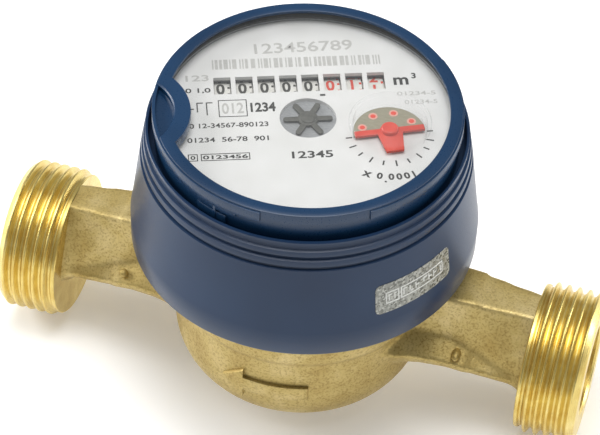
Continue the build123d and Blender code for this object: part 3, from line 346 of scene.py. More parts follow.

# Turned brass: bright yellow metal with fine tool rings round the pipe axis,
# 0.05 mm apart on the lathe and drawn 0.2 mm apart, and a little darker in
# random patches where the tool left oil stain.
turned_brass, tree, shader, where = material("turned_brass", 0.82, 0.32)
split = add(tree, "SeparateXYZ", {"Vector": where})
rings = add(tree, "TexNoise", {"W": split.outputs["X"], "Scale": 1 / (0.2 * mm), "Detail": 2.0},
            noise_dimensions="1D").outputs["Fac"]
stains = noise(tree, where, 5.0, 3.0, 0.6)
tone = ramp(tree, stains, (0.3, "#D6B864"), (0.6, "#EAD484"), (0.8, "#F4E2A2"))
tree.links.new(tone, shader.inputs["Base Color"])
tree.links.new(ramp(tree, rings, (0.3, 0.24), (0.75, 0.38)), shader.inputs["Roughness"])
bump(tree, shader, rings, 0.006, 0.5)

for side, name in ((1, "inlet_threaded_end"), (-1, "outlet_threaded_end")):
    end = turned(end_profile, 128)
    end.rotation_euler = (0, -side * math.pi / 2, 0)
    end.location = (side * end_x * mm, 0, pipe_z * mm)
    pick(end)
    bpy.ops.object.transform_apply(location=True, rotation=True, scale=True)
    end = combine(end, jets[0] if side < 0 else jets[1])
    settle(close_up(end), name, 40)
    coat(end, turned_brass)
    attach(end, "meter_body")

# ---- Wet side --------------------------------------------------------------
# Inside the chamber: a moulded strainer in the inlet, a steel pivot pin, the
# rubber seal, the moulded separating plate and its screwed brass clamping
# ring, the soft-iron shield and the bearing bush.


def paint(finish, *nodes):
    for node in nodes:
        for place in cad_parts[node].material_slots:
            place.material = finish


# Natural acetal: milky off-white, faintly waxy, flow marks too soft to see
# apart from a slight change of gloss.
acetal, tree, shader, where = material("natural_acetal", 0.0, 0.38, IOR=1.48, Subsurface_Weight=0.1)
shader.inputs["Subsurface Radius"].default_value = (0.002, 0.0015, 0.001)
cloud = noise(tree, where, 4.0, 3.0)
tree.links.new(ramp(tree, cloud, (0.3, "#DCD8CB"), (0.7, "#E9E6DB")), shader.inputs["Base Color"])
tree.links.new(ramp(tree, cloud, (0.3, 0.34), (0.7, 0.44)), shader.inputs["Roughness"])
bump(tree, shader, noise(tree, where, 0.5), 0.01, 0.4)
paint(acetal, "inlet_strainer", "separating_plate", "impeller", "upper_bearing_bush")

# Ground stainless steel: grey, bright, with short fine grinding marks.
steel, tree, shader, where = material("ground_stainless_steel", 1.0, 0.28)
marks = add(tree, "Mapping", {"Vector": where, "Scale": (1, 1, 12)})
scratch = noise(tree, marks.outputs["Vector"], 0.6, 4.0, 0.7)
tree.links.new(ramp(tree, scratch, (0.3, "#9DA0A3"), (0.7, "#C9CBCC")), shader.inputs["Base Color"])
tree.links.new(ramp(tree, scratch, (0.3, 0.22), (0.7, 0.38)), shader.inputs["Roughness"])
bump(tree, shader, scratch, 0.006, 0.6)
paint(steel, "lower_pivot_pin", "impeller_top_pivot", "relay_stud", "roller_shaft", "pinion_shaft",
      "frame_screws")

# Nitrile rubber: near black, dull, with the fine matt of its mould.
rubber, tree, shader, where = material("moulded_nitrile_rubber", 0.0, 0.75, IOR=1.52)
dust = noise(tree, where, 1.2, 4.0)
tree.links.new(ramp(tree, dust, (0.35, "#1D1D1C"), (0.75, "#30302E")), shader.inputs["Base Color"])
bump(tree, shader, noise(tree, where, 0.3), 0.02, 0.5)
paint(rubber, "plate_seal_ring", "window_gasket")

paint(turned_brass, "clamping_ring")

# Zinc-plated soft iron: grey-blue metal with a faint cloudy crystal bloom.
zinc, tree, shader, where = material("zinc_plated_iron", 1.0, 0.42)
bloom = add(tree, "TexVoronoi", {"Vector": where, "Scale": 1 / (0.8 * mm)}).outputs["Distance"]
tree.links.new(ramp(tree, bloom, (0.0, "#A9ADB1"), (0.9, "#83888E")), shader.inputs["Base Color"])
tree.links.new(ramp(tree, bloom, (0.0, 0.36), (0.9, 0.52)), shader.inputs["Roughness"])
paint(zinc, "shield_ring")

# ---- Impeller --------------------------------------------------------------
# A moulded acetal wheel with straight blades turns on a jewel and a steel
# pin, and carries a pressed ferrite ring magnet under the separating plate.

# Synthetic sapphire bearing: pale, hard and very glossy.
jewel, tree, shader, where = material("synthetic_sapphire", 0.0, 0.06, IOR=1.77)
tree.links.new(ramp(tree, noise(tree, where, 1.0), (0.3, "#A43349"), (0.7, "#C05A6C")),
               shader.inputs["Base Color"])
paint(jewel, "impeller_jewel")

# Pressed barium ferrite: dark charcoal ceramic, slightly glittering grains.
ferrite, tree, shader, where = material("pressed_ferrite", 0.25, 0.6)
grains = noise(tree, where, 0.25, 5.0, 0.7)
tree.links.new(ramp(tree, grains, (0.35, "#2A2A2C"), (0.75, "#4A4B4E")), shader.inputs["Base Color"])
bump(tree, shader, grains, 0.02, 0.5)
paint(ferrite, "impeller_magnet", "follower_magnet")

# ---- Outer casing ----------------------------------------------------------
# The blue casing is one injection-moulded ABS sleeve that snaps over the
# brass flange and turns with the register. A plain band at the foot, a long
# tapered wall and three stepped beads under the open rim.
low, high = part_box("outer_casing")
foot, rim = low.z / mm, high.z / mm
casing_profile = [
    (28.6, foot), (36.0, foot), (36.45, foot + 0.2), (36.7, foot + 0.7), (36.7, 46.0), (36.55, 46.6),
    (34.4, 62.7), (33.75, 62.85), (33.65, 63.15), (33.75, 63.45), (34.1, 63.65), (34.15, 64.3), (34.0, 65.1),
    (33.4, 65.3), (33.25, 65.6), (33.35, 65.9), (33.7, 66.1), (33.75, 66.7), (33.6, 67.4), (33.05, 67.6),
    (32.95, 67.9), (33.0, 69.0), (33.3, 69.15), (33.3, rim - 0.15), (33.15, rim), (32.7, rim),
    (32.6, rim - 0.15), (32.6, 66.0), (31.0, 66.0), (31.0, 63.0), (32.6, 61.4), (32.6, 41.9), (28.6, 41.9),
    (28.6, foot)]
casing = turned(casing_profile, 256)
settle(casing, "outer_sleeve", 28)

# Moulded ABS, spark-eroded tool: deep grey-blue, satin, with a fine even
# texture of 0.1 mm that is drawn at 0.35 mm so that it shows.
blue_abs, tree, shader, where = material("satin_blue_abs", 0.0, 0.32, IOR=1.5, Specular_IOR_Level=0.36)
texture = noise(tree, where, 0.35, 3.0, 0.6)
flow = noise(tree, where, 25.0, 2.0)
tree.links.new(ramp(tree, flow, (0.3, "#162D4B"), (0.7, "#1D3757")), shader.inputs["Base Color"])
tree.links.new(ramp(tree, texture, (0.3, 0.28), (0.7, 0.36)), shader.inputs["Roughness"])
bump(tree, shader, texture, 0.008, 0.4)
coat(casing, blue_abs)
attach(casing, "register")
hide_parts("outer_casing")

# ---- Register housing and frame --------------------------------------------
# The dry register sits in a moulded cup; two moulded plates on pillars, held
# by small slotted screws, carry the whole train of wheels.

# Grey glass-filled ABS: flat mid grey with faint fibre streaks.
frame_plastic, tree, shader, where = material("grey_filled_abs", 0.0, 0.5, IOR=1.54)
streaks = add(tree, "Mapping", {"Vector": where, "Scale": (1, 6, 1)})
fibres = noise(tree, streaks.outputs["Vector"], 1.2, 4.0, 0.65)
tree.links.new(ramp(tree, fibres, (0.3, "#86888A"), (0.7, "#A2A4A5")), shader.inputs["Base Color"])
tree.links.new(ramp(tree, fibres, (0.3, 0.45), (0.7, 0.58)), shader.inputs["Roughness"])
bump(tree, shader, fibres, 0.01, 0.5)
paint(frame_plastic, "register_housing", "lower_frame_plate", "train_plate", "train_posts", "frame_pillars",
      "upper_frame_plate", "left_roller_bracket", "right_roller_bracket")

# ---- Wheel train -----------------------------------------------------------
# Moulded acetal wheels step the magnet's turns down to the pointer and the
# number wheels; the magnet rotor and the star share one shaft.
paint(acetal, "follower_rotor", "idler_gear", "pointer_gear", "relay_gear", "drive_spindle", "units_crown",
      *[f"transfer_pinion_{i}" for i in range(1, 8)])

# ---- Number wheels ---------------------------------------------------------
# Eight moulded wheels with pad-printed figures: dark grey on the five whole
# cubic metre wheels, red on the three decimals. Square index marks sit at the
# right-hand edge, one for each figure.
register_deg = 21.5
register_turn = math.radians(register_deg)
to_world = Matrix.Rotation(register_turn, 4, "Z")
wheel_w, wheel_z, wheel_r = 10.4, 63.3, 7.0
wheel_us = [-16.9 + 4.56 * i for i in range(8)]
# The figure that each wheel shows, and how far the figures stand off, in degrees.
shown = [0, 0, 0, 0, 0, 0, 1, 1.5]
phase = 4.5
figure_deg, ink_lift = 36.0, 0.03

# Pad-printed white acetal: clean warm white with a dry satin skin.
wheel_white, tree, shader, where = material("white_acetal", 0.0, 0.45, IOR=1.48)
cloud = noise(tree, where, 2.0, 3.0)
tree.links.new(ramp(tree, cloud, (0.3, "#D8D7D0"), (0.7, "#E6E5DF")), shader.inputs["Base Color"])
tree.links.new(ramp(tree, cloud, (0.3, 0.40), (0.7, 0.52)), shader.inputs["Roughness"])
paint(wheel_white, *[f"number_wheel_{i}" for i in range(1, 9)])


def ink(name, colour, thin):
    """Screen or pad ink: a flat colour that is a little uneven where it lies thin."""
    made, tree, shader, where = material(name, 0.0, 0.5, IOR=1.45)
    cover = noise(tree, where, 0.6, 4.0, 0.6)
    tree.links.new(ramp(tree, cover, (0.25, thin), (0.55, colour)), shader.inputs["Base Color"])
    tree.links.new(ramp(tree, cover, (0.3, 0.42), (0.7, 0.6)), shader.inputs["Roughness"])
    return made


dark_ink = ink("dark_grey_ink", "#35342F", "#4A4943")
red_ink = ink("red_ink", "#D8402C", "#E2604C")
black_ink = ink("black_ink", "#23221F", "#383733")
grey_ink = ink("pale_grey_ink", "#B4B3AF", "#C3C2BE")


def lettering(words, size, middle=(0.0, 0.0), turn=0.0, squeeze=1.0, weight=0.05):
    """Flat letters as a mesh, centred on a point given in mm."""
    alone()
    bpy.ops.object.text_add(location=(middle[0] * mm, middle[1] * mm, 0), rotation=(0, 0, turn))
    thing = bpy.context.object
    thing.data.body = words
    thing.data.size = size * mm
    thing.data.align_x = "CENTER"
    thing.data.align_y = "CENTER"
    thing.data.offset = weight * mm
    thing.data.resolution_u = 4
    thing.scale = (squeeze, 1, 1)
    bpy.ops.object.convert(target="MESH")
    bpy.ops.object.transform_apply(location=True, rotation=True, scale=True)
    return bpy.context.object


def sliced(thing, step, low, high):
    """Cut a flat shape into strips across y, so that it can follow a curve."""
    pick(thing)
    bpy.ops.object.mode_set(mode="EDIT")
    cut = low
    while cut <= high:
        bpy.ops.mesh.select_all(action="SELECT")
        bpy.ops.mesh.bisect(plane_co=(0, cut * mm, 0), plane_no=(0, 1, 0))
        cut += step
    bpy.ops.mesh.select_all(action="SELECT")
    bpy.ops.mesh.quads_convert_to_tris()
    bpy.ops.object.mode_set(mode="OBJECT")
    return thing


def block(u0, u1, w0, w1):
    """A flat rectangle of print, as a mesh."""
    alone()
    bpy.ops.mesh.primitive_plane_add(size=1, location=((u0 + u1) / 2 * mm, (w0 + w1) / 2 * mm, 0))
    thing = bpy.context.object
    thing.scale = ((u1 - u0) * mm, (w1 - w0) * mm, 1)
    bpy.ops.object.transform_apply(location=True, rotation=True, scale=True)
    return thing


figures = []
for figure in range(10):
    parts = [lettering(str(figure), 4.8, (-0.35, 0), 0, 0.74, 0.14)]
    parts += [block(1.1, 1.6, -2.1, -1.3), block(1.1, 1.6, 0.1, 0.75)]
    figures.append(sliced(joined(parts), 0.4, -2.2, 2.2))
for index, wheel_u in enumerate(wheel_us):
    copies = []
    for figure in range(10):
        copy = figures[figure].copy()
        copy.data = figures[figure].data.copy()
        bpy.context.collection.objects.link(copy)
        around = phase + (figure - shown[index]) * figure_deg
        for vertex in copy.data.vertices:
            angle = vertex.co.y / mm / wheel_r + math.radians(around)
            reach = wheel_r + ink_lift
            place = Vector((wheel_u + vertex.co.x / mm, wheel_w + reach * math.sin(angle),
                            wheel_z + reach * math.cos(angle)))
            vertex.co = to_world @ (place * mm)
        copies.append(copy)
    print_ring = joined(copies)
    modifier(print_ring, "SOLIDIFY", thickness=0.05 * mm, offset=-1)
    settle(print_ring, f"wheel_figures_{index + 1}", 40)
    coat(print_ring, dark_ink if index < 5 else red_ink)
    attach(print_ring, f"digit_{index + 1}")
for figure in figures:
    bpy.data.objects.remove(figure)

# ---- Dial plate and its print ----------------------------------------------
# A printed aluminium disc screwed over the wheels, with a window for each
# figure, a round hole for the star and the pointer's scale.

# Screen-printed white lacquer on aluminium: even warm white, low satin gloss.
dial_white, tree, shader, where = material("white_dial_lacquer", 0.0, 0.4, IOR=1.5)
cloud = noise(tree, where, 6.0, 3.0)
tree.links.new(ramp(tree, cloud, (0.3, "#DADAD7"), (0.7, "#E0E0DE")), shader.inputs["Base Color"])
tree.links.new(ramp(tree, cloud, (0.3, 0.36), (0.7, 0.46)), shader.inputs["Roughness"])
paint(dial_white, "dial_plate")

dial_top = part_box("dial_plate")[1].z
pointer_u, pointer_w = 16.1, -5.7


def greeked(u0, u1, w0, w1, seed, letter=0.9):
    """A line of small print as plain strokes: no letters can be read."""
    rng = random.Random(seed)
    strokes, at = [], u0
    while at < u1 - 0.5:
        wide = letter * rng.uniform(0.7, 1.1)
        lower = w0 if rng.random() < 0.8 else w0 + (w1 - w0) * 0.25
        strokes.append(block(at, min(at + 0.26, u1), lower, w1))
        strokes.append(block(at + 0.26, min(at + wide * 0.8, u1), *rng.choice(
            ((w1 - 0.3, w1), (w0, w0 + 0.3), ((w0 + w1) / 2 - 0.15, (w0 + w1) / 2 + 0.15)))))
        at += wide + 0.25 + (0.6 if rng.random() < 0.15 else 0.0)
    return strokes


def fitted(words, u0, u1, w0, w1, weight=0.06):
    """Generic figures stretched to fill a line of the print."""
    thing = lettering(words, 3.0, (0, 0), 0, 1.0, weight)
    xs = [v.co.x for v in thing.data.vertices]
    ys = [v.co.y for v in thing.data.vertices]
    fill = Matrix.Diagonal(((u1 - u0) * mm / (max(xs) - min(xs)), (w1 - w0) * mm / (max(ys) - min(ys)), 1, 1))
    centre = Matrix.Translation((-(max(xs) + min(xs)) / 2, -(max(ys) + min(ys)) / 2, 0))
    thing.data.transform(Matrix.Translation(((u0 + u1) / 2 * mm, (w0 + w1) / 2 * mm, 0)) @ fill @ centre)
    return thing


def frame_box(u0, u1, w0, w1, line=0.2):
    return [block(u0, u1, w1 - line, w1), block(u0, u1, w0, w0 + line),
            block(u0, u0 + line, w0, w1), block(u1 - line, u1, w0, w1)]


def printed(parts, name, finish):
    """Flat print parts made into one thin layer of ink on the dial."""
    layer = joined(parts)
    modifier(layer, "SOLIDIFY", thickness=0.02 * mm, offset=1)
    layer.data.transform(to_world @ Matrix.Translation((0, 0, dial_top + 0.004 * mm)))
    settle(layer, name, 40)
    coat(layer, finish)
    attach(layer, "register")
    return layer


black = [lettering("m", 4.4, (20.1, 10.3), 0, 1.0, 0.12), lettering("3", 2.2, (22.9, 11.4), 0, 1.0, 0.07),
         block(3.0, 4.1, 6.35, 6.9)]
black.append(fitted("0 1,0", -24.6, -19.4, 8.3, 9.9))
black += [lettering("1234", 3.6, (-9.2, 3.5), 0, 0.78, 0.12)]
black += greeked(-24.4, -18.9, 1.8, 5.6, 5, 1.7)
black += frame_box(-18.1, -12.2, 1.1, 6.1)
black.append(fitted("00 12-34567-890123", -25.3, -8.2, -2.0, -0.6, 0.05))
black.append(fitted("01234  56-78  901", -24.9, -8.4, -6.1, -4.7, 0.05))
black += frame_box(-25.0, -23.0, -11.4, -9.4) + frame_box(-22.4, -12.5, -11.4, -9.4)
black += [fitted("0123456", -22.0, -12.9, -10.95, -9.85, 0.08),
          fitted("0", -24.5, -23.5, -10.95, -9.85, 0.08)]
black.append(fitted("12345", -4.1, 4.2, -11.6, -9.6, 0.06))
# The pointer's scale: ten steps over the lower half turn, and its multiplier.
tick_r, first_tick, tick_step = 8.33, 184, 18
pointer_spot = Matrix.Translation((pointer_u * mm, pointer_w * mm, 0))
for step in range(11):
    angle = math.radians(first_tick + tick_step * step)
    long = 0.8 if step % 2 else 0.65
    tick = block(tick_r - long, tick_r + long, -0.17, 0.17)
    tick.data.transform(pointer_spot @ Matrix.Rotation(angle, 4, "Z"))
    black.append(tick)
multiplier = (("x", -117), ("0", -105), (",", -99), ("0", -94), ("0", -86.5), ("0", -79), ("1", -72))
for place, (sign, degrees) in enumerate(multiplier):
    angle = math.radians(degrees)
    reach = 12.2 if sign != "," else 13.0
    at = (pointer_u + reach * math.cos(angle), pointer_w + reach * math.sin(angle))
    black.append(lettering(sign, 3.0 if place == 0 else 2.3, at, angle + math.pi / 2, 1.0, 0.09))
printed(black, "dial_print_black", black_ink)

grey = [lettering("123456789", 4.3, (0.3, 21.3), math.radians(1.2), 1.12)]
rng = random.Random(29)
at = -18.7
while at < 16.3:
    wide = rng.choice((0.3, 0.3, 0.6, 0.9))
    grey.append(block(at, min(at + wide, 16.5), 15.4, 18.3))
    at += wide + rng.choice((0.3, 0.3, 0.6))
grey += [fitted("012", -17.4, -12.9, 2.0, 5.2), fitted("01234-5", 18.9, 26.9, 5.6, 6.8, 0.03),
         fitted("01234-5", 20.2, 27.0, 3.0, 4.2, 0.03), fitted("123", -24.4, -19.6, 12.0, 13.8, 0.04)]
printed(grey, "dial_print_grey", grey_ink)

# ---- Flow star -------------------------------------------------------------
# A small six-armed star on the magnet rotor's own shaft shows the least flow.
# Moulded dark grey, with rounded arm ends and a stepped hub.
low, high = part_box("star_indicator")
star_z, star_t = low.z / mm, (high.z - low.z) / mm
arms = []
for arm in range(6):
    outline = []
    turn = math.radians(60 * arm)
    for reach, half in ((1.0, 0.62), (1.9, 0.62), (4.5, 0.6), (4.8, 0.52), (4.95, 0.38), (5.03, 0.18)):
        outline.append((reach, half))
    ring = outline + [(r, -h) for r, h in reversed(outline)]
    sections = []
    for z in (star_z, star_z + star_t):
        sections.append([(r * math.cos(turn) - h * math.sin(turn),
                          r * math.sin(turn) + h * math.cos(turn), z) for r, h in ring])
    arms.append(soften(outline_loft(sections), 0.06, 2, 30))
star_hub = [(0.82, star_z), (2.1, star_z), (2.1, star_z + star_t + 0.05), (1.6, star_z + star_t + 0.05),
            (1.5, star_z + star_t + 0.3), (0, star_z + star_t + 0.3), (0, star_z + star_t + 0.02),
            (0.82, star_z + star_t + 0.02), (0.82, star_z)]
arms.append(soften(turned(star_hub, 48), 0.06))
star = joined(arms)
star.data.transform(to_world)
settle(star, "flow_star", 35)

# Dark grey acetal: soft charcoal, satin, a little paler where it is worn.
star_grey, tree, shader, where = material("dark_grey_acetal", 0.0, 0.5, IOR=1.48)
wear = noise(tree, where, 0.8, 4.0)
tree.links.new(ramp(tree, wear, (0.3, "#4A4A44"), (0.75, "#5A5A54")), shader.inputs["Base Color"])
bump(tree, shader, noise(tree, where, 0.25), 0.01, 0.5)
coat(star, star_grey)
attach(star, "follower")
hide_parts("star_indicator")

# ---- Pointer and half disc -------------------------------------------------
# The litre pointer is red acetal with a raised hub; under it turns a half
# disc with a metal foil for a clip-on reader, printed with four red dots.


def carried(node, name, sharp=30.0, edge=0.0):
    """A merged copy of a CAD node, with smooth faces and softened edges."""
    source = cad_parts[node]
    copy = bpy.data.objects.new(name, source.data.copy())
    bpy.context.collection.objects.link(copy)
    pick(copy)
    bpy.ops.mesh.customdata_custom_splitnormals_clear()
    close_up(copy, 0.001 * mm)
    if edge:
        bpy.ops.object.mode_set(mode="EDIT")
        bpy.ops.mesh.select_all(action="SELECT")
        bpy.ops.mesh.dissolve_limited(angle_limit=math.radians(0.5))
        bpy.ops.object.mode_set(mode="OBJECT")
        soften(copy, edge, 2, 40)
    return settle(copy, name, sharp)


# Beige foil laminate: aluminium under clear lacquer, dull and slightly warm.
foil, tree, shader, where = material("lacquered_foil", 0.35, 0.42)
rolled = add(tree, "Mapping", {"Vector": where, "Scale": (1, 10, 1)})
lines = noise(tree, rolled.outputs["Vector"], 1.5, 3.0)
tree.links.new(ramp(tree, lines, (0.3, "#97927B"), (0.7, "#A7A28B")), shader.inputs["Base Color"])
bump(tree, shader, lines, 0.006, 0.4)
paint(foil, "inductive_half_disc")

disc_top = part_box("inductive_half_disc")[1].z
dots, rings, dot_reach = [], [], 5.65
for angle in (32, 76, 121, 163):
    around = math.radians(angle)
    spot = (pointer_u + dot_reach * math.cos(around), pointer_w + dot_reach * math.sin(around))
    for radius, parts, lift in ((0.95, rings, 0.004), (0.55, dots, 0.03)):
        alone()
        bpy.ops.mesh.primitive_circle_add(vertices=32, radius=radius * mm, fill_type="NGON",
                                          location=(spot[0] * mm, spot[1] * mm, lift * mm))
        bpy.ops.object.transform_apply(location=True, rotation=True, scale=True)
        parts.append(bpy.context.object)
for parts, name, finish in ((rings, "half_disc_rings", ink("pink_ink", "#DB9C8C", "#D2A596")),
                            (dots, "half_disc_dots", red_ink)):
    layer = joined(parts)
    modifier(layer, "SOLIDIFY", thickness=0.03 * mm, offset=1)
    layer.data.transform(to_world @ Matrix.Translation((0, 0, disc_top)))
    settle(layer, name, 40)
    coat(layer, finish)
    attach(layer, "pointer")

pointer = carried("litre_pointer", "red_pointer", 35.0, 0.12)
# Red acetal: bright orange-red, satin, faintly translucent at thin edges.
red_plastic, tree, shader, where = material("red_acetal", 0.0, 0.38, IOR=1.48, Subsurface_Weight=0.08)
shader.inputs["Subsurface Radius"].default_value = (0.002, 0.0005, 0.0003)
cloud = noise(tree, where, 3.0, 3.0)
tree.links.new(ramp(tree, cloud, (0.3, "#CC3826"), (0.7, "#D8452F")), shader.inputs["Base Color"])
tree.links.new(ramp(tree, cloud, (0.3, 0.34), (0.7, 0.44)), shader.inputs["Roughness"])
coat(pointer, red_plastic)
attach(pointer, "pointer")
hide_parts("litre_pointer")

# ---- Register window -------------------------------------------------------
# One clear moulded disc seals the register; a shallow dome over the pointer
# makes room for its hub. It seats on a rubber ring under the bezel.
window = carried("register_window", "clear_window", 30.0)

# Clear polycarbonate: nearly invisible face on. Where its walls are seen along their length it shows bright
# lines, and its colour there is a painted dark blue-grey shade that stands in for the dark reflections in its
# walls.
clear, tree, shader, where = material("clear_polycarbonate", 0.0, 0.04, IOR=1.58, Specular_IOR_Level=0.2)
facing = add(tree, "LayerWeight", {"Blend": 0.32}).outputs["Facing"]
haze = noise(tree, where, 12.0, 2.0)
tint = ramp(tree, haze, (0.3, "#E8ECEE"), (0.7, "#F4F6F6"))
# Painted shade: the colour turns dark blue-grey where a wall is seen edge-on, in place of the dome's dark
# reflection.
depth = ramp(tree, facing, (0.55, "#FFFFFF"), (0.85, "#66717C"))
haze_and_painted_shade = add(tree, "Mix", {"Factor": 1.0, 6: tint, 7: depth}, data_type="RGBA", blend_type="MULTIPLY")
tree.links.new(haze_and_painted_shade.outputs[2], shader.inputs["Base Color"])
cover = ramp(tree, facing, (0.0, 0.03), (0.5, 0.06), (0.75, 0.42), (1.0, 0.8))
tree.links.new(cover, shader.inputs["Alpha"])
coat(window, clear)
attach(window, "register")
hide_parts("register_window")

# ---- Bezel ring ------------------------------------------------------------
# The blue bezel clips into the casing and holds the window down. Its lip
# overhangs on the front and right; a lens-shaped hollow on the left takes the
# hinge of a lid, and a latch gap sits beside it.
low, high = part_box("bezel_ring")
bezel_top, bezel_foot = high.z / mm, low.z / mm
bezel_r, bezel_in = 31.8, 28.9
wall_in, wall_r = 31.02, 31.45
glass_top = 74.7
pocket_u, pocket_w, pocket_r, pocket_web = -38.5, 0.4, 11.2, 3.4
web_low, seat = 72.8, glass_top + 0.02
bezel = turned([
    (wall_in, bezel_foot), (wall_r - 0.15, bezel_foot), (wall_r - 0.15, web_low), (wall_r, web_low + 0.1),
    (wall_r, bezel_top - 0.22), (wall_r - 0.06, bezel_top - 0.07), (wall_r - 0.22, bezel_top),
    (bezel_in + 0.2, bezel_top - 0.02), (bezel_in + 0.05, bezel_top - 0.08), (bezel_in, bezel_top - 0.22),
    (bezel_in, seat), (wall_in, seat), (wall_in, bezel_foot)], 256)
# The lens-shaped hollow is cut into a web that fills the ring's left side.
web = turned([(0, web_low), (pocket_r + pocket_web, web_low), (pocket_r + pocket_web, bezel_top - 0.02),
              (0, bezel_top - 0.02)], 128)
web.data.transform(to_world @ Matrix.Translation((pocket_u * mm, pocket_w * mm, 0)))
web = combine(web, turned([(0, 60), (wall_r - 0.2, 60), (wall_r - 0.2, 80), (0, 80)], 256), "INTERSECT")
bezel = combine(bezel, web, "UNION")
pocket_floor = 73.4
hollow = turned([(0, pocket_floor), (pocket_r - 0.5, pocket_floor),
                 (pocket_r, pocket_floor + 0.5), (pocket_r, bezel_top - 0.3),
                 (pocket_r + 0.35, bezel_top + 0.1), (pocket_r + 0.35, 80), (0, 80)], 128)
hollow.data.transform(to_world @ Matrix.Translation((pocket_u * mm, pocket_w * mm, 0)))
bezel = combine(bezel, hollow)


def band(outline, start, sweep, steps):
    """An outline of (radius, height) points in mm, swept round part of a turn."""
    alone()
    bpy.ops.mesh.primitive_circle_add(vertices=len(outline), fill_type="NGON")
    thing = bpy.context.object
    turn = math.radians(start)
    for vertex, (radius, height) in zip(thing.data.vertices, outline):
        vertex.co = Vector((radius * math.cos(turn), radius * math.sin(turn), height)) * mm
    bpy.ops.object.mode_set(mode="EDIT")
    bpy.ops.mesh.select_all(action="SELECT")
    bpy.ops.mesh.spin(steps=steps, angle=math.radians(sweep), center=(0, 0, 0), axis=(0, 0, 1))
    bpy.ops.object.mode_set(mode="OBJECT")
    return close_up(thing)


def ring_part(outer, low, high, start, sweep):
    """A softened piece of ring on the bezel's wall, from a start angle on the dial."""
    outline = [(trim_in, low), (outer, low), (outer, high), (trim_in, high)]
    return soften(band(outline, start + register_deg, sweep, max(4, int(abs(sweep) / 1.5))), 0.08)


# Two lips, and beside the latch gap a low step, an upright and a tongue.
trim_in, lip_low, lip_top = 31.1, 72.4, bezel_top - 0.45
trims = [ring_part(bezel_r, lip_low, lip_top, -112, 120), ring_part(bezel_r, lip_low, lip_top, 24, 96),
         ring_part(bezel_r - 0.1, 71.4, bezel_top - 0.75, -121.5, 9.0),
         ring_part(bezel_r - 0.1, 66.5, 72.0, -131, -1.2), ring_part(31.6, 66.5, 70.6, -125.5, 13)]
bezel_trims = joined(trims)
settle(bezel_trims, "bezel_lips", 35)
settle(close_up(bezel), "bezel", 28)

# Moulded ABS, polished tool: clearer blue than the casing and a little
# glossier, with bright thin lines along its rounded edges.
bezel_blue, tree, shader, where = material("bezel_blue_abs", 0.0, 0.3, IOR=1.53)
flow = noise(tree, where, 18.0, 2.0)
texture = noise(tree, where, 0.3, 3.0)
tree.links.new(ramp(tree, flow, (0.3, "#123252"), (0.7, "#183B5E")), shader.inputs["Base Color"])
tree.links.new(ramp(tree, texture, (0.3, 0.26), (0.7, 0.36)), shader.inputs["Roughness"])
bump(tree, shader, texture, 0.008, 0.4)
for piece in (bezel, bezel_trims):
    coat(piece, bezel_blue)
    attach(piece, "register")
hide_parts("bezel_ring")

# ---- Tamper label ----------------------------------------------------------
# A silver holographic foil label is stuck on the casing's front right. It
# carries only a plain frame and strokes that can't be read.
label_low, label_high, label_from, label_to = 49.0, 56.4, -50.0, -18.5
wall_foot, wall_foot_r, wall_head, wall_head_r = 46.6, 36.55, 62.7, 34.4


def case_radius(z):
    return wall_foot_r - (wall_foot_r - wall_head_r) * (z - wall_foot) / (wall_head - wall_foot)


def on_case(thing, lift):
    """Wrap a flat shape round the casing: x is along the wall, y is up."""
    middle_z, middle = (label_low + label_high) / 2, math.radians((label_from + label_to) / 2)
    for vertex in thing.data.vertices:
        z = middle_z + vertex.co.y / mm
        radius = case_radius(z) + lift
        angle = middle + vertex.co.x / mm / case_radius(middle_z)
        vertex.co = Vector((radius * math.cos(angle), radius * math.sin(angle), z)) * mm


def across(thing, step, low, high):
    """Cut a flat shape into strips across x."""
    thing.data.transform(Matrix.Rotation(math.pi / 2, 4, "Z"))
    sliced(thing, step, low, high)
    thing.data.transform(Matrix.Rotation(-math.pi / 2, 4, "Z"))
    return thing


wide = math.radians(label_to - label_from) * case_radius((label_low + label_high) / 2)
tall = label_high - label_low
label = block(-wide / 2, wide / 2, -tall / 2, tall / 2)
pick(label)
bpy.ops.object.mode_set(mode="EDIT")
bpy.ops.mesh.select_all(action="SELECT")
bpy.ops.mesh.bevel(offset=1.2 * mm, segments=6, affect="VERTICES")
bpy.ops.object.mode_set(mode="OBJECT")
across(label, 0.5, -wide / 2 + 0.25, wide / 2)
on_case(label, 0.01)
modifier(label, "SOLIDIFY", thickness=0.1 * mm, offset=1)
settle(close_up(label), "tamper_foil", 40)

# Holographic foil: silver film with a fine embossed criss-cross, about
# 0.5 mm apart, that sparkles from grey to white.
label_foil, tree, shader, where = material("embossed_silver_foil", 0.55, 0.35)
facets = add(tree, "TexVoronoi", {"Vector": where, "Scale": 1 / (0.45 * mm)})
tree.links.new(ramp(tree, facets.outputs["Color"], (0.15, "#6E6F69"), (0.5, "#8C8D87"), (0.85, "#B9BAB4")),
               shader.inputs["Base Color"])
tree.links.new(ramp(tree, facets.outputs["Color"], (0.2, 0.25), (0.8, 0.5)), shader.inputs["Roughness"])
bump(tree, shader, facets.outputs["Distance"], 0.03, 0.8)
coat(label, label_foil)
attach(label, "register")
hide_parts("tamper_label")

marks = frame_box(-7.6, -4.4, -1.5, 1.5, 0.3) + frame_box(-4.0, 7.6, -1.5, 1.5, 0.3)
marks += greeked(-3.4, 7.2, -0.8, 0.8, 41, 1.5) + greeked(-6.9, -5.0, -0.8, 0.8, 43, 1.5)
marks = across(joined(marks), 0.5, -8, 8)
on_case(marks, 0.115)
modifier(marks, "SOLIDIFY", thickness=0.02 * mm, offset=1)
settle(close_up(marks, 0.0005 * mm), "tamper_foil_marks", 40)
coat(marks, ink("white_ink", "#DEDFDB", "#C9CAC6"))
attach(marks, "register")

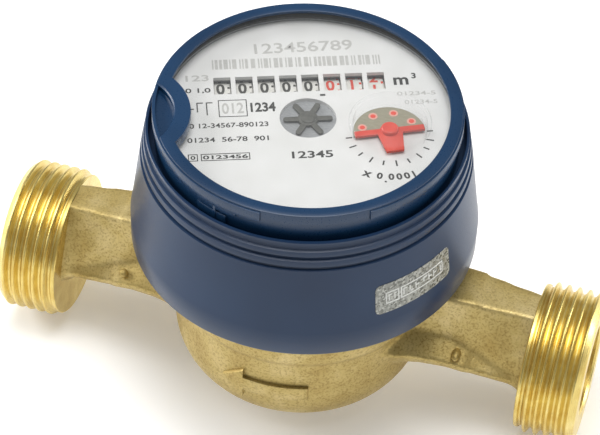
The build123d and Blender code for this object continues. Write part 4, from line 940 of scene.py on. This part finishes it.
# ---- Studio ----------------------------------------------------------------
# A pale floor, large soft lamps left, right and overhead, and the camera.
alone()
bpy.ops.mesh.primitive_plane_add(size=8, location=(0, 0, 0))
floor = bpy.context.object
floor.name = "floor"
paper, tree, shader, where = material("white_paper_sweep", 0.0, 0.9)
tree.links.new(ramp(tree, noise(tree, where, 40.0), (0.3, "#F4F4F3"), (0.7, "#F8F8F7")),
               shader.inputs["Base Color"])
shader.inputs["Emission Color"].default_value = (1, 1, 1, 1)
shader.inputs["Emission Strength"].default_value = 0.22
floor.data.materials.append(paper)

world = bpy.data.worlds.new("studio")
bpy.context.scene.world = world
world.use_nodes = True
world.node_tree.nodes["Background"].inputs["Color"].default_value = (1, 1, 1, 1)
world.node_tree.nodes["Background"].inputs["Strength"].default_value = 0.22


def lamp(name, place, power, size):
    data = bpy.data.lights.new(name, "AREA")
    data.shape, data.size, data.size_y = "RECTANGLE", size[0], size[1]
    data.energy = power
    light = bpy.data.objects.new(name, data)
    bpy.context.collection.objects.link(light)
    light.location = place
    light.rotation_mode = "QUATERNION"
    light.rotation_quaternion = (Vector((0, 0, 0.04)) - light.location).to_track_quat("-Z", "Y")


lamp("left_softbox", (-0.75, 0.08, 0.33), 5.4, (0.5, 0.4))
lamp("right_strip", (0.70, 0.40, 0.22), 3.0, (0.3, 0.4))
lamp("overhead", (0.0, -0.05, 1.0), 2.6, (0.5, 0.3))
sky_data = bpy.data.lights.new("soft_sky", "SUN")
sky_data.energy, sky_data.angle = 1.3, math.radians(50)
soft_sky = bpy.data.objects.new("soft_sky", sky_data)
bpy.context.collection.objects.link(soft_sky)

camera_data = bpy.data.cameras.new("camera")
camera = bpy.data.objects.new("camera", camera_data)
bpy.context.collection.objects.link(camera)
bpy.context.scene.camera = camera
camera_data.lens, camera_data.sensor_width = 153.2, 36.0
# The camera's own right and viewing directions, square to each other.
right = Vector((0.95592, 0.29250, 0.02571))
ahead = Vector((-0.18545, 0.66932, -0.71946))
up = right.cross(ahead)
camera.matrix_world = Matrix.Translation((0.0996, -0.3628, 0.4322)) @ Matrix(
    (right, up, -ahead)).transposed().to_4x4()
bpy.context.scene.view_settings.view_transform = "Standard"
